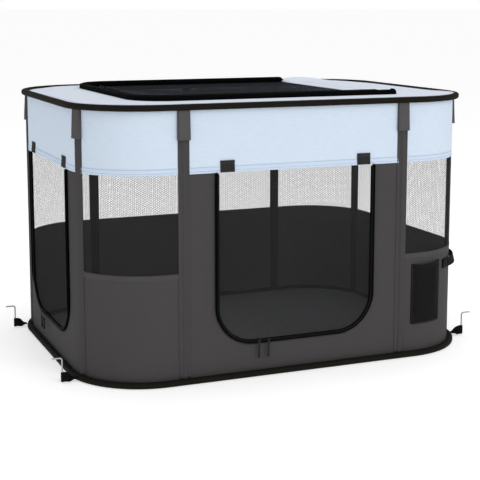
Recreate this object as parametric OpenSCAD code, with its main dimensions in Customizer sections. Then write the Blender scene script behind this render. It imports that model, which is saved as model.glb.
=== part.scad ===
// Soft-sided pet playpen. A rounded rectangular pen of cloth and mesh is held open by a
// spring-wire hoop at the rim and another at the base, and by slim poles in sewn sleeves.
// It has a zipped door at the front, another at the left end and a zipped hatch in the roof.
// Millimetres. The origin is the middle of the footprint, on the ground. +X runs along the
// length, the front faces -Y and +Z is up.

/* [Pen] */
// Length between the outer faces of the end walls
pen_length = 1080; // [1000:10:1200]
// Width between the outer faces of the front and back walls
pen_width = 820; // [760:10:900]
// Height from the ground to the top of the rim
pen_height = 700; // [620:10:800]
// Outside radius of the upright corners
corner_r = 190; // [170:5:210]
// Thickness of the wall cloth
cloth_t = 2; // [1.6:0.2:3]
// Thickness of the mesh
mesh_t = 1; // [0.8:0.1:1.4]
// Thickness of the floor mat
floor_t = 3; // [2:0.5:4]

/* [Levels] */
// Height of the lower edge of the valance
valance_z = 527; // [470:1:540]
// Height of the top of the solid lower panels
panel_z = 282; // [200:2:320]

/* [Hoops] */
// Height of the cloth binding round each hoop
hoop_h = 16; // [14:1:20]
// How far each hoop stands out from the wall
hoop_w = 17; // [14:1:20]
// Diameter of the spring wire
wire_d = 5; // [4:0.5:6]

/* [Poles] */
// Distance of the front and back poles from the middle of the pen
pole_x = 304; // [290:2:320]
// Distance of the end poles from the middle of the pen
pole_y = 278; // [270:1:300]
// Diameter of a pole
pole_d = 5; // [4:0.5:6]
// Width of the lower sleeve
sleeve_w = 30; // [24:1:36]
// Width of the upper pocket
pocket_w = 35; // [32:1:42]
// Height of the upper pocket
pocket_h = 72; // [50:2:90]

/* [Doors] */
// Half width of the front doorway
front_half = 222; // [190:1:250]
// Half width of the side doorway
side_half = 203; // [170:1:210]
// Height of the bottom of both doorways
door_bottom = 85; // [60:1:110]
// Radius of the lower corners of the doorways
door_r = 104; // [80:2:120]
// Width of each half of the zip
tape_w = 6.5; // [5:0.5:8]

/* [Hatch] */
// Distance from the left wall to the hatch
hatch_left = 150; // [120:5:160]
// Distance from the right wall to the hatch's hinge line
hatch_right = 206; // [170:2:220]
// Distance from the front and back walls to the hatch
hatch_side = 90; // [60:5:90]
// Radius of the hatch's left corners
hatch_r = 100; // [80:5:120]
// Width of the cloth border beside the hatch's hinge line
hatch_border = 54; // [40:2:80]

/* [Fittings] */
// Width of a tie tab
tab_w = 38; // [30:1:42]
// Height of a tie tab
tab_h = 22; // [18:1:34]
// Length of a zip pull
pull_len = 45; // [35:1:50]
// Height of a ground stake
stake_h = 66; // [60:1:90]
// Diameter of a ground stake
stake_d = 4; // [3:0.5:5]
// Depth of the storage pocket
pouch_depth = 10; // [9:0.5:12]
// Height of the webbing of the carry handle
handle_h = 25; // [20:1:30]

/* [Hidden] */
$fn = 96;

half_l = pen_length / 2;
half_w = pen_width / 2;
run_x = half_l - corner_r;
run_y = half_w - corner_r;
rim_z = pen_height - hoop_h;
roof_t = 2;
roof_z = pen_height - roof_t;
gap = 0.5;

// The end poles stand on the corner arcs, where the wall faces this far off the X axis.
end_tilt = asin((pole_y - run_y) / corner_r);
end_pole_x = run_x + corner_r * cos(end_tilt);
// Each pole's place on the wall and the direction that it faces.
poles = concat(
    [for (sx = [-1, 1], sy = [-1, 1]) [sx * pole_x, sy * half_w, sy * 90]],
    [for (sx = [-1, 1], sy = [-1, 1])
        [sx * end_pole_x, sy * pole_y, sx > 0 ? sy * end_tilt : 180 - sy * end_tilt]],
    [[0, half_w, 90], [half_l, 0, 0]]
);
pole_out = 4.5;
pole_bore_d = pole_d + 0.6;
sleeve_t = 1.4;
pocket_t = 10;
pocket_round = 3;

zip_w = 2 * tape_w + gap;
tape_out = 5;
hatch_tape_out = 12;
door_top_gap = 3;

hatch_x0 = hatch_left - half_l;
hatch_x1 = half_l - hatch_right;
hatch_half = half_w - hatch_side;
hatch_tape_end = hatch_x1 - 12;
hatch_mesh_end = hatch_x1 - hatch_border;

tab_t = 2.5;
tab_out = 0.3;
tab_top = valance_z + 23;
patch_h = 7;

slider_len = 14;
slider_wide = 9;
plate_t = 2;
pin_rise = 4.9;
pin_r = 0.9;
eye_r = 2.2;
eye_bore_r = 1.1;
ear_in = 2.8;
ear_t = 1.4;
slider_lift = 0.2;
// Two sliders meet on each zip, this far to each side of the place where they meet.
slider_half_gap = 13;
front_meet = -94;
side_meet = -70;
hatch_meet = 25;
hatch_pull_droop = 15;

strap_t = 2;
handle_z = 238;
handle_bulge = 42;
handle_start = 40;
handle_end_y = -165;
patch_len = 25;
patch_lap = 6;
patch_t = 4.5;
patch_turn = patch_len / corner_r * 180 / PI;

loop_out = 27;
loop_in_r = 4.5;
loop_h = 24;
loop_z = 3;
stake_x = half_l + hoop_w + loop_out;
stake_y = pole_y + 5;
stake_bend = 6;
stake_arm = 20;

pouch_start = 342;
pouch_turn = 26;
pouch_z0 = 90;
pouch_z1 = 256;
pouch_t = 1.5;

cloth_grey = [0.29, 0.28, 0.285];
cloth_blue = [0.82, 0.87, 0.93];
binding_black = [0.1, 0.1, 0.09];
zip_black = [0.04, 0.04, 0.04];
mesh_grey = [0.22, 0.22, 0.23];
steel = [0.62, 0.63, 0.65];

// ---- outlines and walls ----

// The pen's plan, moved out by the given distance.
module plan(out = 0) {
    r = corner_r + out;
    square([2 * run_x, 2 * (half_w + out)], center = true);
    square([2 * (half_l + out), 2 * run_y], center = true);
    for (sx = [-1, 1], sy = [-1, 1]) {
        translate([sx * run_x, sy * run_y])
            circle(r, $fn = 4 * $fn);
    }
}

module plan_ring(outer, inner) {
    difference() {
        plan(outer);
        plan(inner);
    }
}

// One axis of a stretch of wall: all of the middle, or from a pole or a corner outwards.
function reach(side, other, pole, run, half) =
    side == 0 ? [-pole, pole] : [other == 0 ? run : pole, half + 1];

// The part of the plan that belongs to one stretch of wall: sx and sy pick the side.
module stretch(sx, sy) {
    x = reach(sx, sy, pole_x, run_x, half_l);
    y = reach(sy, sx, pole_y, run_y, half_w);
    mirror([sx < 0 ? 1 : 0, 0])
        mirror([0, sy < 0 ? 1 : 0])
            translate([x[0], y[0]])
                square([x[1] - x[0], y[1] - y[0]]);
}

// A stretch of wall between two heights and two distances from the wall face.
module wall_stretch(sx, sy, z0, z1, inner, outer = 0) {
    translate([0, 0, z0])
        linear_extrude(z1 - z0)
            intersection() {
                plan_ring(outer, inner);
                stretch(sx, sy);
            }
}

// Sweeps a profile round the pen. Its x is the distance out from the wall, its y the height.
module swept_round() {
    for (k = [0:3]) {
        far = k % 2 == 0 ? half_l : half_w;
        run = k % 2 == 0 ? run_y : run_x;
        rotate(90 * k) {
            translate([far, run, 0])
                rotate([90, 0, 0])
                    linear_extrude(2 * run)
                        children();
            translate([far - corner_r, run, 0])
                rotate_extrude(angle = 90)
                    translate([corner_r, 0])
                        children();
        }
    }
}

// Stands a shape drawn in elevation on the front wall, between two distances from its face.
module on_front(from, to) {
    translate([0, -half_w - from, 0])
        rotate([90, 0, 0])
            linear_extrude(to - from)
                children();
}

// The same on the left wall, where the shape's own x runs towards the front.
module on_left(from, to) {
    rotate(-90)
        translate([0, -half_l - from, 0])
            rotate([90, 0, 0])
                linear_extrude(to - from)
                    children();
}

module at_poles() {
    for (p = poles) {
        translate([p.x, p.y, 0])
            rotate(p.z)
                children();
    }
}

// ---- hoops and poles ----

module binding_profile() {
    r = 5;
    difference() {
        union() {
            translate([0, r])
                square([hoop_w, hoop_h - 2 * r]);
            square([hoop_w - r, hoop_h]);
            translate([hoop_w - r, r])
                circle(r);
            translate([hoop_w - r, hoop_h - r])
                circle(r);
        }
        translate([hoop_w / 2, hoop_h / 2])
            circle(d = wire_d + 0.4);
    }
}

module hoop_binding(z) {
    translate([0, 0, z])
        swept_round()
            binding_profile();
}

module hoop_wire(z) {
    translate([0, 0, z])
        swept_round()
            translate([hoop_w / 2, hoop_h / 2])
                circle(d = wire_d);
}

module rim_wire() {
    color(steel)
        hoop_wire(rim_z);
}

module rim_binding() {
    color(binding_black)
        hoop_binding(rim_z);
}

module base_wire() {
    color(steel)
        hoop_wire(0);
}

module base_binding() {
    color(binding_black)
        hoop_binding(0);
}

module support_poles() {
    color("dimgray")
        at_poles()
            translate([pole_out, 0, hoop_h + 1])
                cylinder(d = pole_d, h = rim_z - hoop_h - 2);
}

// Cuts the pen's own outline and the pole's bore out of what is sewn on the wall.
module sewn_on_wall(z0, z1) {
    difference() {
        translate([0, 0, z0])
            linear_extrude(z1 - z0)
                at_poles()
                    difference() {
                        children();
                        translate([pole_out, 0])
                            circle(d = pole_bore_d);
                    }
        translate([0, 0, z0 - 1])
            linear_extrude(z1 - z0 + 2)
                plan();
    }
}

module pole_sleeves() {
    color(cloth_grey)
        sewn_on_wall(hoop_h, rim_z - pocket_h) {
            union() {
                translate([-3, -sleeve_w / 2])
                    square([3 + sleeve_t, sleeve_w]);
                translate([-3, -pole_out])
                    square([3 + pole_out, 2 * pole_out]);
                translate([pole_out, 0])
                    circle(pole_out);
            }
        }
}

module pole_pockets() {
    color(cloth_grey)
        sewn_on_wall(rim_z - pocket_h, rim_z) {
            union() {
                translate([-3, -pocket_w / 2])
                    square([3 + pocket_t - pocket_round, pocket_w]);
                translate([0, -pocket_w / 2 + pocket_round])
                    square([pocket_t, pocket_w - 2 * pocket_round]);
                for (s = [-1, 1]) {
                    translate([pocket_t - pocket_round, s * (pocket_w / 2 - pocket_round)])
                        circle(pocket_round);
                }
            }
        }
}

// ---- cloth walls ----

module valance(sx, sy) {
    color(cloth_blue)
        wall_stretch(sx, sy, valance_z, roof_z, -cloth_t);
}

module valance_front() {
    valance(0, -1);
}

module valance_back() {
    valance(0, 1);
}

module valance_left() {
    valance(-1, 0);
}

module valance_right() {
    valance(1, 0);
}

module valance_corners() {
    for (sx = [-1, 1], sy = [-1, 1])
        valance(sx, sy);
}

// A doorway's outline in elevation: straight sides, round lower corners and a flat top.
module doorway(half, inset = 0, top = valance_z) {
    side = half - inset;
    bottom = door_bottom + inset;
    r = door_r - inset;
    translate([-side, bottom + r])
        square([2 * side, top - bottom - r]);
    translate([r - side, bottom])
        square([2 * (side - r), r]);
    for (s = [-1, 1]) {
        translate([s * (side - r), bottom + r])
            circle(r);
    }
}

// A band that follows the doorway's sides and bottom, between two insets.
module doorway_band(half, outer, inner, top) {
    difference() {
        doorway(half, outer, top);
        doorway(half, inner, top + 1);
    }
}

module front_wall() {
    color(cloth_grey)
        difference() {
            wall_stretch(0, -1, floor_t, valance_z, -cloth_t);
            on_front(-cloth_t - 1, 1)
                doorway(front_half, 0, valance_z + 1);
        }
}

module left_wall() {
    color(cloth_grey)
        difference() {
            wall_stretch(-1, 0, floor_t, valance_z, -cloth_t);
            on_left(-cloth_t - 1, 1)
                doorway(side_half, 0, valance_z + 1);
        }
}

module lower_panel(sx, sy) {
    color(cloth_grey)
        wall_stretch(sx, sy, floor_t, panel_z, -cloth_t);
}

module back_wall() {
    lower_panel(0, 1);
}

module right_wall() {
    lower_panel(1, 0);
}

module corner_wall_front_left() {
    lower_panel(-1, -1);
}

module corner_wall_front_right() {
    lower_panel(1, -1);
}

module corner_wall_back_left() {
    lower_panel(-1, 1);
}

module corner_wall_back_right() {
    lower_panel(1, 1);
}

module window(sx, sy) {
    color(mesh_grey)
        wall_stretch(sx, sy, panel_z, valance_z, -gap - mesh_t, -gap);
}

module back_window() {
    window(0, 1);
}

module right_window() {
    window(1, 0);
}

module corner_windows() {
    for (sx = [-1, 1], sy = [-1, 1])
        window(sx, sy);
}

// ---- roof, hatch and floor ----

module hatch_plan(inset = 0, end = hatch_x1) {
    r = hatch_r - inset;
    x0 = hatch_x0 + inset;
    side = hatch_half - inset;
    translate([x0 + r, -side])
        square([end - x0 - r, 2 * side]);
    translate([x0, r - side])
        square([r, 2 * (side - r)]);
    for (s = [-1, 1]) {
        translate([x0 + r, s * (side - r)])
            circle(r);
    }
}

module hatch_band(outer, inner) {
    translate([0, 0, roof_z])
        linear_extrude(roof_t + hatch_tape_out)
            difference() {
                hatch_plan(outer, hatch_tape_end);
                hatch_plan(inner, hatch_tape_end + 1);
            }
}

module roof_panel() {
    color(cloth_blue)
        translate([0, 0, roof_z])
            linear_extrude(roof_t)
                difference() {
                    plan();
                    hatch_plan();
                }
}

module hatch_zip_tape() {
    color(zip_black)
        hatch_band(0, tape_w);
}

module hatch_zip() {
    color(zip_black)
        hatch_band(tape_w + gap, zip_w);
}

module hatch_mesh() {
    color(mesh_grey)
        translate([0, 0, roof_z + gap])
            linear_extrude(mesh_t)
                hatch_plan(zip_w, hatch_mesh_end);
}

module hatch_border_cloth() {
    side = hatch_half - zip_w;
    color(cloth_blue)
        translate([hatch_mesh_end, -side, roof_z])
            cube([hatch_border - gap, 2 * side, roof_t]);
}

module floor_mat() {
    color("dimgray")
        linear_extrude(floor_t)
            plan();
}

// ---- doors ----

module front_zip_tape() {
    color(zip_black)
        on_front(-cloth_t, tape_out)
            doorway_band(front_half, 0, tape_w, valance_z);
}

module side_zip_tape() {
    color(zip_black)
        on_left(-cloth_t, tape_out)
            doorway_band(side_half, 0, tape_w, valance_z);
}

module front_door_zip() {
    color(zip_black)
        on_front(-cloth_t, tape_out)
            doorway_band(front_half, tape_w + gap, zip_w, valance_z - door_top_gap);
}

module side_door_zip() {
    color(zip_black)
        on_left(-cloth_t, tape_out)
            doorway_band(side_half, tape_w + gap, zip_w, valance_z - door_top_gap);
}

module front_door_mesh() {
    color(mesh_grey)
        on_front(-gap - mesh_t, -gap)
            doorway(front_half, zip_w, valance_z - gap);
}

module side_door_mesh() {
    color(mesh_grey)
        on_left(-gap - mesh_t, -gap)
            doorway(side_half, zip_w, valance_z - gap);
}

// ---- zip sliders and pulls ----
// A slider is drawn at the origin: the zip runs along X, the wall faces -Y and the pull
// hangs along -Z.

module slider_shape(tape) {
    face = tape + slider_lift;
    pin = face + pin_rise;
    translate([0, -face, 0])
        rotate([90, 0, 0])
            linear_extrude(plate_t) {
                square([slider_len - slider_wide, slider_wide], center = true);
                for (s = [-1, 1]) {
                    translate([s * (slider_len - slider_wide) / 2, 0])
                        circle(d = slider_wide);
                }
            }
    for (s = [-1, 1]) {
        translate([s * (ear_in + ear_t / 2) - ear_t / 2, -pin - 1.6, -1.8])
            cube([ear_t, pin_rise + 1.6, 3.6]);
    }
    translate([-ear_in - ear_t / 2, -pin, 0])
        rotate([0, 90, 0])
            cylinder(r = pin_r, h = 2 * ear_in + ear_t);
}

module pull_shape(tape, droop = 0) {
    eye_len = 2 * ear_in - 0.6;
    plate_len = 14;
    cord_r = 2.4;
    tip_r = 3.2;
    tip_len = 14;
    translate([0, -tape - slider_lift - pin_rise, 0])
        rotate([droop, 0, 0])
            difference() {
                union() {
                    rotate([0, 90, 0])
                        cylinder(r = eye_r, h = eye_len, center = true);
                    translate([-eye_len / 2, -0.8, -plate_len])
                        cube([eye_len, 1.6, plate_len]);
                    translate([0, 0, -pull_len + tip_len - 1])
                        cylinder(r = cord_r, h = pull_len - tip_len - plate_len + 2);
                    translate([0, 0, -pull_len])
                        cylinder(r1 = tip_r, r2 = cord_r, h = tip_len);
                }
                rotate([0, 90, 0])
                    cylinder(r = eye_bore_r, h = eye_len + 1, center = true);
            }
}

module on_front_zip(side) {
    translate([front_meet + side * slider_half_gap, -half_w, door_bottom + zip_w / 2 + 2])
        children();
}

module on_side_zip(side) {
    rotate(-90)
        translate([side_meet + side * slider_half_gap, -half_l, door_bottom + zip_w / 2 + 2])
            children();
}

module on_hatch_zip(side) {
    translate([hatch_x0 + zip_w / 2 + 2, hatch_meet + side * slider_half_gap, pen_height])
        rotate([-90, 0, 90])
            children();
}

module front_slider_left() {
    color(steel)
        on_front_zip(-1)
            slider_shape(tape_out);
}

module front_slider_right() {
    color(steel)
        on_front_zip(1)
            slider_shape(tape_out);
}

module side_slider_back() {
    color(steel)
        on_side_zip(-1)
            slider_shape(tape_out);
}

module side_slider_front() {
    color(steel)
        on_side_zip(1)
            slider_shape(tape_out);
}

module hatch_slider_front() {
    color(steel)
        on_hatch_zip(-1)
            slider_shape(hatch_tape_out);
}

module hatch_slider_back() {
    color(steel)
        on_hatch_zip(1)
            slider_shape(hatch_tape_out);
}

module front_pull_left() {
    color(zip_black)
        on_front_zip(-1)
            pull_shape(tape_out);
}

module front_pull_right() {
    color(zip_black)
        on_front_zip(1)
            pull_shape(tape_out);
}

module side_pull_back() {
    color(zip_black)
        on_side_zip(-1)
            pull_shape(tape_out);
}

module side_pull_front() {
    color(zip_black)
        on_side_zip(1)
            pull_shape(tape_out);
}

module hatch_pull_front() {
    color(zip_black)
        on_hatch_zip(-1)
            pull_shape(hatch_tape_out, hatch_pull_droop);
}

module hatch_pull_back() {
    color(zip_black)
        on_hatch_zip(1)
            pull_shape(hatch_tape_out, hatch_pull_droop);
}

// ---- tie tabs, pocket and handle ----

// The middle of a tab: just inside the zip, at the door's top corner.
function tab_mid(half) = half - zip_w - tab_w / 2 - 1;

module tab_shape(x) {
    translate([x - tab_w / 2, tab_top - tab_h])
        square([tab_w, tab_h]);
}

module patch_shape(x) {
    translate([x - tab_w / 2, tab_top + tab_out])
        square([tab_w, patch_h]);
}

module tab_patches() {
    color(zip_black)
        for (s = [-1, 1]) {
            on_front(0, tab_t)
                patch_shape(s * tab_mid(front_half));
            on_left(0, tab_t)
                patch_shape(s * tab_mid(side_half));
        }
}

module front_tab_left() {
    color(zip_black)
        on_front(tab_out, tab_out + tab_t)
            tab_shape(-tab_mid(front_half));
}

module front_tab_right() {
    color(zip_black)
        on_front(tab_out, tab_out + tab_t)
            tab_shape(tab_mid(front_half));
}

module side_tab_back() {
    color(zip_black)
        on_left(tab_out, tab_out + tab_t)
            tab_shape(-tab_mid(side_half));
}

module side_tab_front() {
    color(zip_black)
        on_left(tab_out, tab_out + tab_t)
            tab_shape(tab_mid(side_half));
}

// The stretch of the front right corner that the pocket covers.
module pouch_stretch(margin = 0) {
    reach = half_l;
    turn = pouch_turn - margin / corner_r * 180 / PI;
    translate([pouch_start + margin, -half_w - 50])
        square([run_x - pouch_start - margin, 100]);
    translate([run_x, -run_y])
        polygon([
            [0, 0],
            [0, -reach],
            [reach * tan(turn), -reach]
        ]);
}

module storage_pocket() {
    color(mesh_grey) {
        translate([0, 0, pouch_z0])
            linear_extrude(pouch_t)
                intersection() {
                    plan_ring(pouch_depth + pouch_t, 0);
                    pouch_stretch();
                }
        translate([0, 0, pouch_z0 + pouch_t])
            linear_extrude(pouch_z1 - pouch_z0 - pouch_t)
                difference() {
                    intersection() {
                        plan_ring(pouch_depth + pouch_t, 0);
                        pouch_stretch();
                    }
                    intersection() {
                        plan_ring(pouch_depth, -1);
                        pouch_stretch(pouch_t);
                    }
                }
    }
}

// The handle's webbing is one arc between two sewn ends, bowed out past the corner.
handle_a = [
    run_x + (corner_r + 1) * sin(handle_start),
    -run_y - (corner_r + 1) * cos(handle_start)
];
handle_b = [half_l + 1, handle_end_y];
handle_chord = norm(handle_b - handle_a);
handle_turn = atan2(handle_b.y - handle_a.y, handle_b.x - handle_a.x);
handle_r = (handle_chord ^ 2 / 4 + handle_bulge ^ 2) / (2 * handle_bulge);
handle_sweep = asin(handle_chord / 2 / handle_r);
handle_mid = (handle_a + handle_b) / 2;
handle_c = handle_mid - (handle_r - handle_bulge) * [sin(handle_turn), -cos(handle_turn)];

// A flat strip bent to an arc that turns up to half a circle.
module arc_strip(r, t, turn) {
    far = 2 * (r + t);
    intersection() {
        difference() {
            circle(r + t, $fn = 4 * $fn);
            circle(r, $fn = 4 * $fn);
        }
        polygon([
            [0, 0],
            [far, 0],
            [far * cos(turn / 2), far * sin(turn / 2)],
            [far * cos(turn), far * sin(turn)]
        ]);
    }
}

module carry_handle() {
    color(zip_black)
        translate([0, 0, handle_z - handle_h / 2])
            linear_extrude(handle_h) {
                translate(handle_c)
                    rotate(handle_turn - 90 - handle_sweep)
                        arc_strip(handle_r, strap_t, 2 * handle_sweep);
                translate([run_x, -run_y])
                    rotate(handle_start - 90 - patch_turn)
                        arc_strip(corner_r, patch_t, patch_turn + 2);
                translate([half_l, handle_end_y - patch_lap])
                    square([patch_t, patch_len + patch_lap]);
            }
}

// ---- ground stakes ----

module stake_loops() {
    outer_r = loop_in_r + strap_t;
    color(zip_black)
        difference() {
            for (sx = [-1, 1], sy = [-1, 1]) {
                translate([sx * stake_x, sy * stake_y, loop_z])
                    mirror([sx < 0 ? 1 : 0, 0, 0])
                        linear_extrude(loop_h)
                            difference() {
                                union() {
                                    circle(outer_r);
                                    translate([-loop_out - 8, -outer_r])
                                        square([loop_out + 8, 2 * outer_r]);
                                }
                                circle(loop_in_r);
                                translate([-loop_out - 9, -loop_in_r])
                                    square([loop_out + 9, 2 * loop_in_r]);
                            }
            }
            linear_extrude(hoop_h)
                plan(hoop_w);
        }
}

module stake(sx, sy) {
    tip_h = 14;
    color(steel)
        translate([sx * stake_x, sy * stake_y, 0])
            mirror([sx < 0 ? 1 : 0, 0, 0]) {
                cylinder(d1 = 1.4, d2 = stake_d, h = tip_h);
                translate([0, 0, tip_h])
                    cylinder(d = stake_d, h = stake_h - tip_h - stake_bend - stake_d / 2);
                translate([stake_bend, 0, stake_h - stake_bend - stake_d / 2])
                    rotate([90, 0, 0])
                        rotate([0, 0, 90])
                            rotate_extrude(angle = 90)
                                translate([stake_bend, 0])
                                    circle(d = stake_d);
                translate([stake_bend, 0, stake_h - stake_d / 2])
                    rotate([0, 90, 0])
                        cylinder(d = stake_d, h = stake_arm);
            }
}

module stake_front_left() {
    stake(-1, -1);
}

module stake_front_right() {
    stake(1, -1);
}

module stake_back_left() {
    stake(-1, 1);
}

module stake_back_right() {
    stake(1, 1);
}

rim_wire();
rim_binding();
base_wire();
base_binding();
support_poles();
pole_sleeves();
pole_pockets();
valance_front();
valance_back();
valance_left();
valance_right();
valance_corners();
front_wall();
left_wall();
back_wall();
right_wall();
corner_wall_front_left();
corner_wall_front_right();
corner_wall_back_left();
corner_wall_back_right();
back_window();
right_window();
corner_windows();
roof_panel();
floor_mat();
storage_pocket();
carry_handle();
stake_loops();
tab_patches();
front_zip_tape();
side_zip_tape();
hatch_zip_tape();
front_door_mesh();
front_door_zip();
side_door_mesh();
side_door_zip();
hatch_mesh();
hatch_border_cloth();
hatch_zip();
front_slider_left();
front_slider_right();
side_slider_back();
side_slider_front();
hatch_slider_front();
hatch_slider_back();
front_pull_left();
front_pull_right();
side_pull_back();
side_pull_front();
hatch_pull_front();
hatch_pull_back();
stake_front_left();
stake_front_right();
stake_back_left();
stake_back_right();
front_tab_left();
front_tab_right();
side_tab_back();
side_tab_front();
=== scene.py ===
"""Looks for a soft-sided pet playpen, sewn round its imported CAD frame.

Metres. The front faces -Y, +X runs along the length and +Z is up. A place on the wall is given by s,
the distance round the pen from the middle of its front, seen from above and anticlockwise, by its
height z and by how far out it stands from the wall's outer face.
"""
import math

import bmesh
import bpy
import numpy as np
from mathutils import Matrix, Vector, noise
from mathutils.geometry import delaunay_2d_cdt


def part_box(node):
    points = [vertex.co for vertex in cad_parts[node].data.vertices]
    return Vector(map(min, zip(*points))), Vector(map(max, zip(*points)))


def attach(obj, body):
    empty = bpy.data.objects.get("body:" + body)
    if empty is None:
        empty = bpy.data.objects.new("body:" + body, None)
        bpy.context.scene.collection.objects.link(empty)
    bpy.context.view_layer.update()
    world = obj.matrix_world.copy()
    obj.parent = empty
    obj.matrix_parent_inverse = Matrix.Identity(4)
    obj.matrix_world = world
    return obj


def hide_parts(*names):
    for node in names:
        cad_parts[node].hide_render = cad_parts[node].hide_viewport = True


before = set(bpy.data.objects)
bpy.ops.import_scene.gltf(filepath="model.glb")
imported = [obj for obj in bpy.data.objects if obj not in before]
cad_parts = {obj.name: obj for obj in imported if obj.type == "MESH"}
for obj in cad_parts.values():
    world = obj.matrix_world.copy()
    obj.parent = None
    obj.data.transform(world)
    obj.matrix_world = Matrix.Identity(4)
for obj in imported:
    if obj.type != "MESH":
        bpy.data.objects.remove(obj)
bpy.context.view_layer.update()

MM = 0.001
UP = Vector((0, 0, 1))
CLOTH_MAP = "Cloth"

# ---- sizes, from the frame ----

HALF_L, HALF_W, FLOOR_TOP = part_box("floor_mat")[1]
RIM_LO, RIM_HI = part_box("rim_binding")
BASE_LO, BASE_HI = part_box("base_binding")
VALANCE_LO, VALANCE_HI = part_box("valance_front")
PANEL_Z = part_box("back_wall")[1].z
POCKET_LO, POCKET_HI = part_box("pole_pockets")
HOOP_OUT = RIM_HI.x - HALF_L
ROOF_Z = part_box("roof_panel")[1].z

CORNER_R = 190 * MM
RUN_X, RUN_Y = HALF_L - CORNER_R, HALF_W - CORNER_R
ARC = CORNER_R * math.pi / 2
PERIMETER = 4 * (RUN_X + RUN_Y + ARC)

POLE_X = VALANCE_HI.x
POLE_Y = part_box("valance_left")[1].y
END_POLE_TURN = math.acos((POLE_Y - RUN_Y) / CORNER_R)
END_S = RUN_X + CORNER_R * END_POLE_TURN
RIGHT_S = RUN_X + ARC + RUN_Y
BACK_S = PERIMETER / 2
LEFT_S = PERIMETER - RIGHT_S
POLES = {
    "front_left": PERIMETER - POLE_X,
    "front_right": POLE_X,
    "right_front": END_S,
    "right_middle": RIGHT_S,
    "right_back": BACK_S - END_S,
    "back_right": BACK_S - POLE_X,
    "back_middle": BACK_S,
    "back_left": BACK_S + POLE_X,
    "left_back": BACK_S + END_S,
    "left_front": PERIMETER - END_S,
}

CLOTH_T = 0.9 * MM
HEM_T = 0.9 * MM
COLUMN = 4 * MM
ROW = 9 * MM
STITCH_PITCH = 3.8 * MM
STITCH_LEN = 2.7 * MM
GROOVE = 0.5 * MM

TAPE_W = 6.5 * MM
ZIP_GAP = 0.5 * MM
ZIP_W = 2 * TAPE_W + ZIP_GAP
DOOR_R = 104 * MM


# ---- materials ----

def paint(r, g, b, share=1.0):
    """An sRGB colour, 0 to 255, as the linear one that a shader takes, times share."""
    linear = [c / 255 / 12.92 if c < 11 else ((c / 255 + 0.055) / 1.055) ** 2.4 for c in (r, g, b)]
    return (*[share * c for c in linear], 1.0)


def node(tree, kind, inputs=(), **settings):
    """A shader node, with its inputs set to numbers or linked to other nodes' outputs."""
    made = tree.nodes.new("ShaderNode" + kind)
    for name, value in settings.items():
        setattr(made, name, value)
    for socket, value in dict(inputs).items():
        if isinstance(value, bpy.types.NodeSocket):
            tree.links.new(value, made.inputs[socket])
        else:
            made.inputs[socket].default_value = value
    return made


def maths(tree, operation, *values):
    return node(tree, "Math", enumerate(values), operation=operation).outputs[0]


def wave(tree, distance, pitch):
    """A wave from -1 to 1 that repeats every pitch metres."""
    return maths(tree, "SINE", maths(tree, "MULTIPLY", distance, 2 * math.pi / pitch))


def flat_place(tree):
    """The place on the flat cloth, in metres."""
    return node(tree, "UVMap", uv_map=CLOTH_MAP).outputs["UV"]


def noise_at(tree, place, size, detail=2.0):
    """Noise from about 0 to 1 whose blotches are roughly size metres across."""
    inputs = {"Vector": place, "Scale": 1 / size, "Detail": detail}
    return node(tree, "TexNoise", inputs).outputs["Fac"]


def new_material(name, colour, roughness, **sockets):
    """A material with constant values set on its shader's own sockets."""
    material = bpy.data.materials.new(name)
    material.use_nodes = True
    shader = material.node_tree.nodes["Principled BSDF"]
    shader.inputs["Base Color"].default_value = colour
    shader.inputs["Roughness"].default_value = roughness
    for socket, value in sockets.items():
        shader.inputs[socket.replace("_", " ")].default_value = value
    return material, material.node_tree, shader


def shade(tree, shader, colour, *parts):
    """Varies the colour: each part is (a value around a middle, that middle, how much it counts)."""
    factor = 1.0
    for value, middle, amount in parts:
        change = maths(tree, "MULTIPLY", maths(tree, "SUBTRACT", value, middle), amount)
        factor = maths(tree, "ADD", change, factor)
    made = node(tree, "VectorMath", {0: colour[:3], "Scale": factor}, operation="SCALE")
    tree.links.new(made.outputs[0], shader.inputs["Base Color"])


def rough(tree, shader, value, low, high):
    made = node(tree, "MapRange", {"Value": value, "To Min": low, "To Max": high})
    tree.links.new(made.outputs[0], shader.inputs["Roughness"])


def raise_up(tree, shader, height, distance, strength=1.0):
    inputs = {"Height": height, "Distance": distance, "Strength": strength}
    made = node(tree, "Bump", inputs)
    tree.links.new(made.outputs[0], shader.inputs["Normal"])


def woven(name, colour, pitch, relief, mottle=0.05, roughness=0.8, sheen=0.0):
    """Plain weave: threads both ways, uneven yarn and faint mottling."""
    material, tree, shader = new_material(
        name, colour, roughness, Sheen_Weight=sheen, Sheen_Roughness=0.5, Specular_IOR_Level=0.1
    )
    place = flat_place(tree)
    axes = node(tree, "SeparateXYZ", {0: place})
    threads = maths(
        tree, "MULTIPLY", wave(tree, axes.outputs[0], pitch), wave(tree, axes.outputs[1], pitch)
    )
    yarn = noise_at(tree, place, 1.6 * MM)
    slubs = noise_at(tree, node(tree, "Mapping", {0: place, 3: (0.25, 1, 1)}).outputs[0], 5 * MM)
    patches = noise_at(tree, place, 70 * MM, 5.0)
    shade(
        tree, shader, colour,
        (threads, 0, 0.05), (yarn, 0.5, 0.12), (slubs, 0.5, 0.10), (patches, 0.5, 4 * mottle),
    )
    rough(tree, shader, patches, roughness - 0.1, roughness + 0.1)
    height = maths(tree, "MULTIPLY_ADD", yarn, 0.8, threads)
    raise_up(tree, shader, maths(tree, "MULTIPLY_ADD", slubs, 0.8, height), relief)
    return material


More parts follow.
